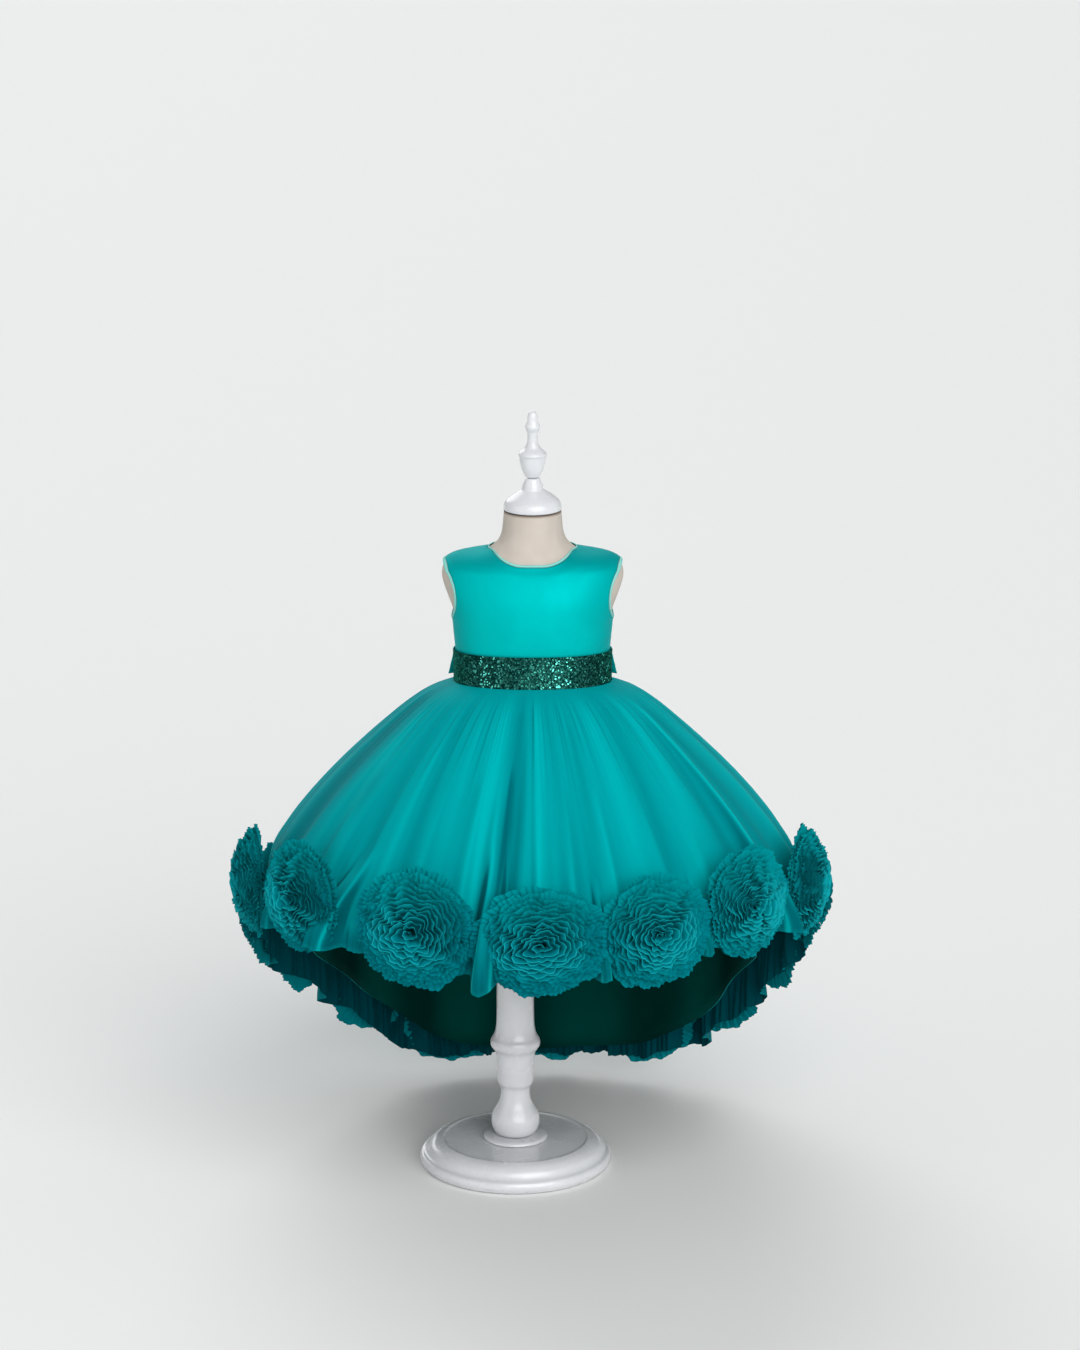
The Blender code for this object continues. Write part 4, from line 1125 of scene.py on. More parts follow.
# ---- The stand and the form ----
@dataclass(frozen=True)
class Stand:
    """The turned pieces under glossy paint: base, collar and post, and the neck cap and finial on the form."""

    sides: int = 80
    base: Profile = (
        (0.0, 0.0), (0.1155, 0.0), (0.118, 0.0025), (0.1208, 0.007), (0.1208, 0.011), (0.1185, 0.015),
        (0.114, 0.0168), (0.111, 0.02), (0.1075, 0.0255), (0.101, 0.0305), (0.093, 0.033), (0.0905, 0.033),
        (0.089, 0.0315), (0.06, 0.0322), (0.0, 0.0322),
    )
    collar: Profile = (
        (0.0, 0.0326), (0.04, 0.0326), (0.0405, 0.0345), (0.039, 0.0368), (0.036, 0.0378), (0.0, 0.0378),
    )
    post: Profile = (
        (0.0, 0.0382), (0.0225, 0.0382), (0.0275, 0.043), (0.0302, 0.05), (0.0308, 0.0565), (0.0296, 0.0635),
        (0.0262, 0.07), (0.0226, 0.0755), (0.02, 0.0815), (0.0184, 0.09), (0.0184, 0.1), (0.0205, 0.1035),
        (0.0228, 0.107), (0.0236, 0.12), (0.024, 0.144), (0.0262, 0.1495), (0.03, 0.154), (0.0316, 0.159),
        (0.0306, 0.164), (0.0272, 0.169), (0.0245, 0.178), (0.0234, 0.195), (0.0232, 0.35), (0.0232, 0.4996),
        (0.0, 0.4996),
    )
    cap: Profile = (
        (0.0, 0.846), (0.0352, 0.846), (0.0356, 0.85), (0.0348, 0.8545), (0.0318, 0.8592), (0.0262, 0.8636),
        (0.0208, 0.8672), (0.016, 0.8702), (0.0132, 0.8722), (0.0126, 0.8765), (0.0112, 0.879), (0.0098, 0.8835),
        (0.0082, 0.8864), (0.0, 0.8864),
    )
    finial: Profile = (
        (0.0, 0.8868), (0.0082, 0.8868), (0.0104, 0.8905), (0.013, 0.896), (0.015, 0.903), (0.0161, 0.9095),
        (0.0161, 0.9122), (0.0173, 0.914), (0.0174, 0.9165), (0.0145, 0.9195), (0.0104, 0.9225), (0.008, 0.9262),
        (0.0066, 0.931), (0.0062, 0.937), (0.0064, 0.9425), (0.0078, 0.9452), (0.0092, 0.9482), (0.0092, 0.9508),
        (0.0076, 0.954), (0.0062, 0.956), (0.0063, 0.9615), (0.0055, 0.9655), (0.0034, 0.9685), (0.0, 0.9694),
    )

    @staticmethod
    def rounded(profile: Profile, times: int = 2) -> Array:
        """A profile with its corners cut: each edge is kept from a quarter to three quarters, a few times over.

        Args:
            profile: radius and height of each corner.
            times: how many times over.

        Returns:
            The rounded profile, with the same two ends.
        """
        line = np.array(profile, float)
        for _ in range(times):
            near, far = 0.75 * line[:-1] + 0.25 * line[1:], 0.25 * line[:-1] + 0.75 * line[1:]
            inner = np.stack([near, far], axis=1).reshape(-1, 2)
            line = np.concatenate([line[:1], inner[1:-1], line[-1:]])
        return line

    def turned(self, name: str, profile: Profile, axis_x: float, paint: Material) -> Piece:
        """Spins a profile round an upright axis, with one shared point at each end.

        Args:
            name: the new piece's name.
            profile: radius and height of each corner.
            axis_x: where the axis stands.
            paint: its material.

        Returns:
            The piece.
        """
        line = self.rounded(profile)
        turn = np.linspace(0, 2 * math.pi, self.sides, endpoint=False)
        rings = line[1:-1]
        ring_points = np.stack([axis_x + rings[:, :1] * np.sin(turn), -rings[:, :1] * np.cos(turn),
                                rings[:, 1:] + 0 * turn], axis=-1)
        grid = Surface(ring_points, round_it=True)
        count = len(rings) * self.sides
        ends = np.array([[axis_x, 0, line[0, 1]], [axis_x, 0, line[-1, 1]]])
        here, beside = np.arange(self.sides), (np.arange(self.sides) + 1) % self.sides
        last = count - self.sides
        foot = np.stack([beside, here, np.full(self.sides, count)], axis=1)
        head = np.stack([last + here, last + beside, np.full(self.sides, count + 1)], axis=1)
        quads = grid.faces()
        halves = np.concatenate([quads[:, [0, 1, 2]], quads[:, [0, 2, 3]], foot, head])
        return mesh_piece(name, np.concatenate([ring_points.reshape(-1, 3), ends]), halves, [paint])

    def build(self, wardrobe: Wardrobe) -> None:
        """Builds every turned piece.

        Args:
            wardrobe: the finishes.
        """
        for node, profile, axis_x in (
            ("base_disc", self.base, 0.0), ("base_collar", self.collar, 0.0), ("stand_post", self.post, 0.0),
            ("neck_cap", self.cap, FORM.axis_x), ("finial", self.finial, FORM.axis_x),
        ):
            settle(self.turned(f"{node}_turned", profile, axis_x, wardrobe.paint), "painted_wood", node)


@dataclass(frozen=True)
class Torso:
    """The limbless form in its stretched cover."""

    across: int = 120
    rows: int = 140
    groove_half: float = 0.0009

    def build(self, wardrobe: Wardrobe) -> None:
        """Builds the cover through the form's sections, closed below and at the neck.

        Args:
            wardrobe: the finishes.
        """
        foot_z, head_z = FORM.sections.rows[0][0], FORM.sections.rows[-1][0]
        heights = FORM.even_heights(math.pi / 2, foot_z, head_z, self.rows)
        turn = np.linspace(-math.pi, math.pi, self.across, endpoint=False)
        azimuth, height = np.meshgrid(turn, heights)
        points = FORM.surface(azimuth, height)
        inset = np.array([0.66, 0.33, 0.0])[:, None, None]
        middle = np.array([FORM.axis_x, 0, 0])
        foot, head = points[:1], points[-1:]
        below = middle + (foot - middle) * [1, 1, 0] * inset[::-1] + [0, 0, foot_z]
        above = middle + (head - middle) * [1, 1, 0] * inset + [0, 0, head_z]
        grid_points = np.concatenate([below, points, above])
        # Painted shadow: a thin dark line round the top of the cover, under the neck cap.
        groove = bell(grid_points[..., 2] - head_z, self.groove_half)
        grid = Surface(grid_points, round_it=True, values={"seam": groove})
        obj = cloth_piece("form_cover", [grid], [wardrobe.cover])
        close_poles(obj)
        settle(obj, "form_cover", "form_torso")


# ---- The bodice ----
@dataclass(frozen=True)
class Bodice:
    """Front, two backs, the pale bindings and the zip."""

    armhole_z: float = 0.748
    armhole_half_height: float = 0.036
    armhole_half_angle: float = 24.0
    bend_from: float = 0.55
    hidden_below: float = 0.0014
    zip_half_angle: float = 0.0222
    zip_gap_angle: float = 0.002
    binding_gap: float = 0.0015
    binding_reach: float = 0.0033
    neckline_front_z: float = 0.785
    neckline_back_z: float = 0.79
    neckline_side_z: float = 0.7984
    neckline_flat_to: float = 15.0
    neckline_side_from: float = 75.0
    rows_below: int = 22
    rows_around: int = 32
    rows_above: int = 10
    across: int = 141
    binding_rows: int = 7
    armhole_columns: int = 120
    zip_rows: int = 90
    zip_columns: int = 9
    closer_at_neck: float = 0.7
    closer_within: float = 0.012
    side_shade: float = 0.72
    piping_swell: float = 0.0007
    zip_groove: float = 0.0004
    slack: Table = Table(("azimuth", "half_angle", "above_waist", "half_height", "slant", "depth"), (
        (-58, 16, 0.05, 0.006, -0.0003, 0.0005), (62, 14, 0.056, 0.005, 0.0004, 0.0006),
        (-20, 22, 0.046, 0.005, 0.0001, 0.0003), (34, 18, 0.047, 0.004, -0.0002, 0.0003),
        (-72, 10, 0.082, 0.006, -0.001, 0.0006), (74, 10, 0.086, 0.006, 0.001, 0.0006),
        (128, 20, 0.052, 0.006, 0.0003, 0.0005), (-124, 22, 0.058, 0.006, -0.0004, 0.0005),
        (158, 14, 0.09, 0.007, -0.0005, 0.0004), (-150, 16, 0.076, 0.007, 0.0006, 0.0004),
    ))

    def neckline(self, azimuth: Array) -> Array:
        """Height of the neckline: level near the middle of the front and back, and risen at the sides.

        Args:
            azimuth: radians.

        Returns:
            Metres above the floor.
        """
        from_middle = np.degrees(np.arccos(np.clip(np.abs(np.cos(azimuth)), 0, 1)))
        lowest = np.where(np.cos(azimuth) > 0, self.neckline_front_z, self.neckline_back_z)
        rise = ramp(from_middle, self.neckline_flat_to, self.neckline_side_from)
        return lowest + (self.neckline_side_z - lowest) * rise

    def armhole(self, turn: Array, inset: Array | float = 0.0) -> tuple[Array, Array]:
        """Radians from the side, and height, round the armhole's edge: the sine and cosine of the turn.

        Args:
            turn: radians round the armhole, from its foot.
            inset: metres in from the edge, towards the hole's middle.

        Returns:
            Radians from the side, and heights.
        """
        height = self.armhole_z - (self.armhole_half_height - inset) * np.cos(turn)
        widest = max(row[1] for row in FORM.sections.rows)
        return (math.radians(self.armhole_half_angle) - inset / widest) * np.sin(turn), height

    def side_heights(self) -> Array:
        """Heights of the rows at the side seam: up to the armhole, round its edge and along the shoulder.

        Returns:
            The heights, rising.
        """
        foot, head = self.armhole_z - self.armhole_half_height, self.armhole_z + self.armhole_half_height
        below = np.linspace(float(FORM.waist(np.array(math.pi / 2))), foot, self.rows_below + 1)
        _, around = self.armhole(np.linspace(0, math.pi, self.rows_around + 1))
        shoulder = FORM.even_heights(math.pi / 2, head, self.neckline_side_z, self.rows_above + 1)
        return np.concatenate([below[:-1], around, shoulder[1:]])

    def panel(self, columns: Array) -> Surface:
        """A panel whose rows bend round the armhole near the side and are even elsewhere.

        A column's azimuth is moved inwards by the armhole's half chord at that height, times how near it is to
        the side. The cloth lies a few millimetres off the form, and has a few soft creases.

        Args:
            columns: azimuths in radians.

        Returns:
            The panel's outer surface.
        """
        side = self.side_heights()
        share = ((side - side[0]) / (side[-1] - side[0]))[:, None]
        away = np.clip((side - self.armhole_z) / self.armhole_half_height, -1, 1)
        cut_away = (math.radians(self.armhole_half_angle) * np.sqrt(1 - away**2))[:, None]
        bottom, top = FORM.waist(columns) - self.hidden_below, self.neckline(columns)
        near_side = 1 - np.abs(np.abs(columns) / (math.pi / 2) - 1)
        bend = ramp(near_side, self.bend_from, 1.0)
        ends = zip(columns, bottom, top)
        even = np.stack([FORM.even_heights(float(a), float(b), float(t), len(side)) for a, b, t in ends], axis=1)
        height = even + bend * (bottom + (top - bottom) * share - even)
        inward = np.sign(columns) * np.where(np.abs(columns) <= math.pi / 2, -1, 1)
        azimuth = columns + inward * cut_away * near_side
        outward = self.ease(azimuth, height) + SATIN / 2 + self.creases(azimuth, height)
        points = FORM.off(azimuth, height, outward)
        step = 0.001
        # Painted shade: darker where the cloth faces up and towards the side seams.
        facing_up = (FORM.off(azimuth, height, outward + step) - points)[..., 2] / step
        at_side = self.side_shade * ramp(1 - np.abs(np.abs(azimuth) / (math.pi / 2) - 1), 0.45, 0.95)
        return Surface(points, values={"tilt": np.maximum(ramp(facing_up, 0.25, 0.95), at_side)})

    def ease(self, azimuth: Array, height: Array) -> Array:
        """How far off the form the cloth lies: evenly, and close to it along the neckline."""
        below_neck = self.neckline(azimuth) - height
        return EASE * (1 - self.closer_at_neck * ramp(below_neck, self.closer_within, 0.0))

    def creases(self, azimuth: Array, height: Array) -> Array:
        """Soft slack in the cloth: slanting ripples above the belt and short drag lines under the armholes.

        Args:
            azimuth: radians.
            height: metres.

        Returns:
            Metres outward.
        """
        above_waist = height - FORM.waist(azimuth)
        relief = np.zeros_like(azimuth)
        for middle, half, up, tall, slant, depth in self.slack.rows:
            away = degrees_between(azimuth, middle)
            relief += depth * bell(away, half) * bell(above_waist - up - slant * away, tall)
        return relief

    def piping(self, azimuth: Array, height: Array) -> Array:
        """A strip with a rounded back: its rows rise off the cloth by a half sine from edge to edge."""
        swell = self.piping_swell * np.sin(np.linspace(0, math.pi, azimuth.shape[0]))[:, None]
        return FORM.off(azimuth, height, self.ease(azimuth, height) + SATIN / 2 + swell)

    def build(self, wardrobe: Wardrobe) -> None:
        """Builds the panels, the bindings and the zip.

        Args:
            wardrobe: the finishes.
        """
        middle = self.zip_half_angle + self.zip_gap_angle
        half = self.across // 2 + 1
        panels = {
            "bodice_front": np.linspace(-math.pi / 2, math.pi / 2, self.across),
            "bodice_back_left": np.linspace(math.pi / 2, math.pi - middle, half),
            "bodice_back_right": np.linspace(-math.pi + middle, -math.pi / 2, half),
        }
        sewn_on: dict[str, list[Piece]] = {node: [] for node in panels}
        columns = np.concatenate([panels["bodice_back_right"], panels["bodice_front"], panels["bodice_back_left"]])
        reach = np.linspace(self.binding_gap / 3, self.binding_reach, self.binding_rows)
        azimuth, above = np.meshgrid(columns, reach)
        neck = Surface(self.piping(azimuth, FORM.further_up(azimuth, self.neckline(azimuth), above)))
        sewn_on["bodice_front"].append(self.bind("neck_binding", neck, wardrobe))
        for sign, node in ((1, "armhole_binding_left"), (-1, "armhole_binding_right")):
            turn, inset = np.meshgrid(np.linspace(0, 2 * math.pi, self.armhole_columns, endpoint=False), reach)
            from_side, height = self.armhole(turn, inset)
            grid = self.piping(sign * (math.pi / 2 - from_side), height)
            rim = Surface(grid[:, ::-1] if sign > 0 else grid, round_it=True)
            sewn_on["bodice_front"].append(self.bind(node, rim, wardrobe))
        sewn_on["bodice_back_left"].append(self.build_zip(wardrobe))
        for node, columns in panels.items():
            surface = self.panel(columns)
            obj = cloth_piece(f"{node}_satin", [surface], [wardrobe.satin], CLOTH)
            settle(obj, "satin", node)
            declare_sheet([surface])

    @staticmethod
    def bind(node: str, surface: Surface, wardrobe: Wardrobe) -> Piece:
        """Builds one binding."""
        return settle(cloth_piece(f"{node}_piping", [surface], [wardrobe.binding], CLOTH), "binding", node)

    def build_zip(self, wardrobe: Wardrobe) -> Piece:
        """Builds the zip's tape, finishes the slider and the pull tab, and gives the tape.

        Args:
            wardrobe: the finishes.

        Returns:
            The tape.
        """
        foot, head = float(FORM.waist(np.array(math.pi))) + 0.001, self.neckline_back_z - 0.002
        half = self.zip_half_angle
        heights = FORM.even_heights(math.pi, foot, head, self.zip_rows)
        azimuth, height = np.meshgrid(np.linspace(math.pi - half, math.pi + half, self.zip_columns), heights)
        groove = -self.zip_groove * bell(azimuth - math.pi, half / 4)
        surface = Surface(FORM.off(azimuth, height, EASE + SATIN / 2 + groove))
        for node in ("zip_slider", "zip_pull"):
            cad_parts[node].data.materials[0] = wardrobe.lacquer
        tape = cloth_piece("zip_tape_closed", [surface], [wardrobe.satin], CLOTH)
        return settle(tape, "satin", "zip_tape")


# ---- The belt, the sash and the bow ----
@dataclass(frozen=True)
class Belt:
    """The sequinned front band, the two satin ties, and the bow at the middle of the back."""

    height: float = 0.038
    off: float = EASE + SATIN + LAYER_GAP
    tuck: float = 0.0022
    sequin_radius: float = 0.0012
    sequin_pitch: float = 0.00185
    sequin_row: float = 0.0016
    sequin_sides: int = 6
    sequin_dish: float = 0.00025
    sequin_tip: float = 0.11
    sequin_lean: float = 0.16
    band_rows: int = 15
    band_slack: float = 0.0003
    glints: Table = Table(("azimuth", "half_angle", "share"), ((-40, 9, 1.0), (24, 12, 1.0), (68, 8, 0.6)))
    glint_everywhere: float = 0.12
    glint_above: float = 0.88
    sequin_tone: float = 0.16
    knot_half_width: float = 0.015
    knot_half_height: float = 0.0175
    knot_depth: float = 0.018
    loop_tip: float = 112.0
    loop_off: float = 0.006
    loop_depth: float = 0.015
    loop_height: float = 0.032
    loop_splay: float = 0.008
    loop_pinch: float = 0.0016
    tail_width: float = 0.046
    tail_top: float = -0.003
    tail_reach: float = 0.184
    tail_slant: float = 0.025
    tail_lift: float = 0.006
    tail_crease: float = 0.0016
    tail_roll: float = 0.002

    def band(self, first: float, last: float, across: int) -> Surface:
        """A stretch of the band between two azimuths in radians, with soft lengthwise slack.

        Args:
            first: azimuth where it begins.
            last: azimuth where it ends.
            across: number of columns.

        Returns:
            Its outer surface.
        """
        azimuth, share = np.meshgrid(np.linspace(first, last, across), np.linspace(0, 1, self.band_rows))
        height = FORM.waist(azimuth) + LAYER_GAP + self.height * share - self.tuck * (1 - share)
        slack = self.band_slack * np.sin(3 * math.pi * share + 2 * azimuth) * np.sin(math.pi * share)
        return Surface(FORM.off(azimuth, height, self.off + SATIN / 2 + slack))

    def sequins(self, first: float, last: float) -> tuple[Array, Array, Array]:
        """Small six-sided dished discs in staggered rows, each tipped a little its own way.

        Args:
            first: azimuth in radians where the rows begin.
            last: azimuth where they end.

        Returns:
            The discs' points, their triangles, and each point's tone.
        """
        rows = int(self.height / self.sequin_row)
        middle_radius = float(FORM.radius(np.array(math.pi / 4), FORM.waist_z)) + self.off
        columns = int((last - first) * middle_radius / self.sequin_pitch)
        chance = np.random.default_rng(7)
        step = (last - first) / columns
        column, row = np.meshgrid(np.arange(columns), np.arange(rows))
        azimuth = first + step * (column + 0.25 + 0.5 * (row % 2)).ravel()
        foot = FORM.waist(azimuth) + LAYER_GAP - self.tuck
        height = foot + (self.height + self.tuck) * (row.ravel() + 0.5) / rows
        distance = self.off + SATIN / 2 + self.band_slack * (1 + chance.random(azimuth.size))
        centre = FORM.off(azimuth, height, distance)
        outward = centre - FORM.off(azimuth, height, distance - 0.001)
        outward /= np.linalg.norm(outward, axis=1, keepdims=True)
        across = np.stack([np.cos(azimuth), np.sin(azimuth), 0 * azimuth], axis=1)
        tip = chance.normal(0, self.sequin_tip, (azimuth.size, 2))
        outward += tip[:, :1] * across + np.array([0, 0, 1.0]) * (tip[:, 1:] + self.sequin_lean)
        outward /= np.linalg.norm(outward, axis=1, keepdims=True)
        side = across - outward * (across * outward).sum(1, keepdims=True)
        side /= np.linalg.norm(side, axis=1, keepdims=True)
        up = np.cross(outward, side)
        sides = self.sequin_sides
        turn = np.linspace(0, 2 * math.pi, sides, endpoint=False)
        rim = (np.cos(turn)[:, None] * side[:, None] + np.sin(turn)[:, None] * up[:, None]) * self.sequin_radius
        dished = centre - self.sequin_dish * outward
        discs = np.concatenate([dished[:, None], centre[:, None] + rim], axis=1)
        fan = np.stack([np.zeros(sides, int), 1 + np.arange(sides), 1 + (np.arange(sides) + 1) % sides], axis=1)
        faces = (np.arange(azimuth.size)[:, None, None] * (sides + 1) + fan).reshape(-1, 3)
        # Painted glints: some sequins take the light colour, more of them in three clusters round the belt; the rest
        # vary in tone at random.
        bright = sum(part * bell(degrees_between(azimuth, middle), half) for middle, half, part in self.glints.rows)
        tone = self.sequin_tone * chance.random(azimuth.size) ** 2
        tone += (self.glint_everywhere + bright) * (chance.random(azimuth.size) > self.glint_above)
        return discs.reshape(-1, 3), faces, np.repeat(np.clip(tone, 0, 1), sides + 1)

    def loop(self, sign: int, knot_z: float) -> Surface:
        """One loop of the bow: a band out round the back, round its tip, and back outside itself.

        Its reach is a half sine along it to the power 0.75. It is pinched at the knot, where creases run out,
        and stands on the waist seam elsewhere.

        Args:
            sign: 1 for the wearer's left, or -1.
            knot_z: height of the knot's middle.

        Returns:
            Its outer surface.
        """
        columns, rows, fullness = 97, 21, 0.75
        t, share = np.meshgrid(np.linspace(0, 1, columns), np.linspace(0, 1, rows))
        out = np.sin(math.pi * t) ** fullness
        back = float(FORM.radius(np.array(math.pi), knot_z)) + self.off
        start = 180 - math.degrees((self.knot_half_width + 2 * LAYER_GAP) / back)
        azimuth = np.radians(start + (self.loop_tip - start) * out)
        flare = smooth_step(t) * (0.3 + 0.7 * out)
        away = self.off + SATIN + self.loop_off + (self.loop_depth - self.loop_off) * flare
        tall = self.loop_height * (0.6 + 0.4 * out)
        foot = (1 - out) * (knot_z - tall / 2) + out * (FORM.waist(azimuth) - 2 * LAYER_GAP)
        pinch = self.loop_pinch * np.cos(5 * math.pi * share + 0.6 * sign) * bell(out, 0.6)
        away = away + self.loop_splay * (1 - share) * out + pinch
        grid = FORM.place(sign * azimuth, FORM.radius(azimuth, knot_z) + away, foot + tall * share)
        return Surface(grid if sign > 0 else grid[:, ::-1])

    def tail(self, azimuth_degrees: float) -> Surface:
        """One tail: a strip from behind the knot down the back of the overskirt, with a slanting end.

        Args:
            azimuth_degrees: where its middle starts.

        Returns:
            Its outer surface.
        """
        rows, columns, spread, narrow = 81, 25, math.radians(6.0), 0.45
        share, across = np.meshgrid(np.linspace(1, 0, rows), np.linspace(-1, 1, columns), indexing="ij")
        sign = float(np.sign(azimuth_degrees))
        drop = self.tail_top + (self.tail_reach + self.tail_slant * across * sign) * share
        middle = math.radians(azimuth_degrees) - sign * spread * np.sqrt(share)
        wide = self.tail_width * (narrow + (1 - narrow) * ramp(share, 0.0, 0.25))
        azimuth = middle + across * wide / 2 / SKIRT.radius(Layer.TULLE, middle, drop)
        radius = SKIRT.radius(Layer.TULLE, azimuth, drop)
        grid = FORM.place(azimuth, radius, FORM.waist(azimuth) - SKIRT_GAP - drop)
        lift = self.tail_lift * (0.6 + 0.4 * share)
        crease = self.tail_crease * np.cos(2.5 * math.pi * across + 3 * share) * bell(share, 0.45)
        roll = self.tail_roll * np.sin(6 * share + 2 * across + sign) * share
        off_skirt = np.array([0.0, 0.6, 0.8])
        return Surface(grid + (lift + crease + roll)[..., None] * off_skirt)

    def knot(self, knot_z: float) -> Surface:
        """The knot: an upright roll, narrower at its top and foot, with pleats round it and its ends drawn in.

        Args:
            knot_z: height of the knot's middle.

        Returns:
            Its surface.
        """
        back = float(FORM.radius(np.array(math.pi), FORM.waist_z)) + self.off
        columns, rows, taper, pleats, pleat_depth, roundness = 72, 41, 0.22, 7, 0.03, 12
        turn, share = np.meshgrid(np.linspace(0, 2 * math.pi, columns, endpoint=False), np.linspace(-1, 1, rows))
        pleated = 1 - pleat_depth * (0.5 + 0.5 * np.cos(pleats * turn + 1.5 * share))
        swell = (1 - taper * share**2) * pleated
        close = np.sqrt(np.clip(1 - np.abs(share) ** roundness, 0, 1))
        x = FORM.axis_x + self.knot_half_width * np.cos(turn) * swell * close
        y = back + LAYER_GAP + self.knot_depth / 2 * (1 + np.sin(turn) * swell * close)
        return Surface(np.stack([x, y, knot_z + self.knot_half_height * share], axis=-1), round_it=True)

    def build(self, wardrobe: Wardrobe) -> None:
        """Builds the band with its sequins, the ties and the bow.

        Args:
            wardrobe: the finishes.
        """
        side = math.pi / 2
        band = self.band(-side, side, across=161)
        obj = settle(cloth_piece("belt_band", [band], [wardrobe.sequin_ground], CLOTH), "sequins", "belt_front")
        points, faces, tone = self.sequins(-side, side)
        sequins = mesh_piece("belt_sequins", points, faces, [wardrobe.sequin])
        sequins.data.attributes.new("tone", "FLOAT", "POINT").data.foreach_set("value", tone.astype(np.float32))
        settle(sequins, "sequins")
        float(band.row_lengths().max())
        knot = (self.knot_half_width + LAYER_GAP) / (float(FORM.radius(np.array(math.pi), FORM.waist_z)) + self.off)
        for node, first, last in (("sash_tie_left", side, math.pi - knot),
                                  ("sash_tie_right", -math.pi + knot, -side)):
            tie = self.band(first, last, across=81)
            self.ribbon(node, tie, Hold.STRETCHED, ["bodice_front_satin"], wardrobe)
        knot_z = float(FORM.waist(np.array(math.pi))) + self.height / 2
        for sign, word in ((1, "left"), (-1, "right")):
            self.ribbon(f"bow_loop_{word}", self.loop(sign, knot_z), Hold.FOLDED, ["bow_knot_satin"], wardrobe)
        for word, azimuth in (("left", 172.0), ("right", -169.0)):
            self.ribbon(f"bow_tail_{word}", self.tail(azimuth), Hold.HUNG, ["bow_knot_satin"], wardrobe,
                        self.tail_width)
        surface = self.knot(knot_z)
        obj = cloth_piece("bow_knot_satin", [surface], [wardrobe.satin])
        close_poles(obj)
        settle(obj, "satin", "bow_knot")

    @staticmethod
    def ribbon(node: str, surface: Surface, hold: Hold, rests_on: list[str], wardrobe: Wardrobe,
               width: float = 0.0) -> None:
        """Builds one stretch of the sash or bow."""
        obj = settle(cloth_piece(f"{node}_satin", [surface], [wardrobe.satin], CLOTH), "satin", node)
        declare_sheet([surface], width=width)


# ---- The skirts and the rosettes ----
@dataclass(frozen=True)
class TulleTones:
    """The painted light and shade that the tulle's finish reads, from where a point is among the folds."""

    large_share: float = 0.4
    steep_from: float = 0.14
    trough: tuple[float, float] = (0.0055, 0.0155)
    trough_share: float = 0.8
    lay_share: float = 0.55
    crest_least: float = 0.36
    crest_lower: float = 0.16
    crest_relief: float = 0.014
    crest_lay: float = 0.6
    crest_off_pleat: float = 0.9
    behind: tuple[float, float] = (0.008, 0.038)
    behind_off_pleat: float = 0.5
    pleat_dark: tuple[float, float] = (0.5, 0.4)
    pleat_dark_from: float = 0.78
    hem_reach: float = 0.003
    hem_share: float = 0.15
    rim_share: float = 0.7
    rim_at: float = 0.86
    rim_half: float = 0.07
    outline_from: float = 0.12
    turned_out: tuple[float, float] = (0.5, 0.8)
    turned_share: float = 0.75
    foot_from: float = 0.72
    foot_share: float = 0.45

    def values(self, azimuth: Array, share: Array, fall: Array, inward: Array, spacing: Array) -> dict[str, Array]:
        """Works out the four values.

        The crest is a painted highlight where a point stands out among its neighbours and on the lays' ridges, the
        flank painted shade where the cloth is steep across, in troughs, on pleats, where the net lies double and
        behind the rosettes, the hem a painted highlight, 1 along a cut edge and along a pleat's rim, and the shade
        painted shade where a pleat turns in and at its foot.

        Args:
            azimuth: radians of each point.
            share: each point's share of the way down to the hem.
            fall: metres from the waist to the hem.
            inward: metres that each point is in from the plain radius.
            spacing: metres between neighbouring columns.

        Returns:
            For each attribute's name, its values.
        """
        drop, above_hem = fall * share, fall * (1 - share)
        slope = np.abs(np.gradient(inward, axis=1)) / spacing
        large = SKIRT.large_fold(Layer.TULLE, azimuth) * ramp(drop, 0.0, SKIRT.folds_full_at)
        relief = inward - self.large_share * large
        lay, pleat = SKIRT.lay(azimuth, share), SKIRT.pleat(azimuth, share)
        outline, at_hem = SKIRT.pleat_outline(azimuth, share), SKIRT.pleat(azimuth, np.ones_like(share))
        # Painted shadow on the net's lowest few centimetres, where it lies behind the rosettes, less on pleats.
        behind = (1 - ramp(above_hem, *self.behind)) * (1 - self.behind_off_pleat * at_hem)
        least, more = self.pleat_dark
        # Painted shade: steep cloth, the net behind the rosettes, pleats, fold troughs and where the net lies double.
        dark = [np.clip(slope - self.steep_from, 0, 1), behind,
                pleat * (least + more * ramp(share, self.pleat_dark_from, 1.0)),
                self.trough_share * ramp(relief, *self.trough), np.clip(-self.lay_share * lay, 0, 1)]
        # Painted highlight where a point stands out among its neighbours, more lower down, and on the lays' ridges.
        proud = smooth_step(self.crest_least + self.crest_lower * share - relief / self.crest_relief)
        crest_highlight = np.clip(proud + self.crest_lay * np.clip(lay, 0, 1), 0, 1)
        # Painted highlight along the cut edge and along each pleat's rim.
        edge = self.hem_share * (1 - ramp(above_hem, 0.0, self.hem_reach))
        rim = self.rim_share * pleat * bell(outline - self.rim_at, self.rim_half)
        # Painted shade where a pleat turns in and at its foot.
        inside = ramp(outline, 0.0, self.outline_from)
        turned = self.turned_share * pleat * inside * (1 - ramp(outline, *self.turned_out))
        foot = self.foot_share * pleat * inside * ramp(share, self.foot_from, 1.0)
        return {
            "flank_shade": np.maximum.reduce(dark), "crest_highlight": crest_highlight * (1 - behind) * (1 - self.crest_off_pleat * pleat),
            "hem": np.maximum(edge, rim), "shade": np.maximum(turned, foot),
        }


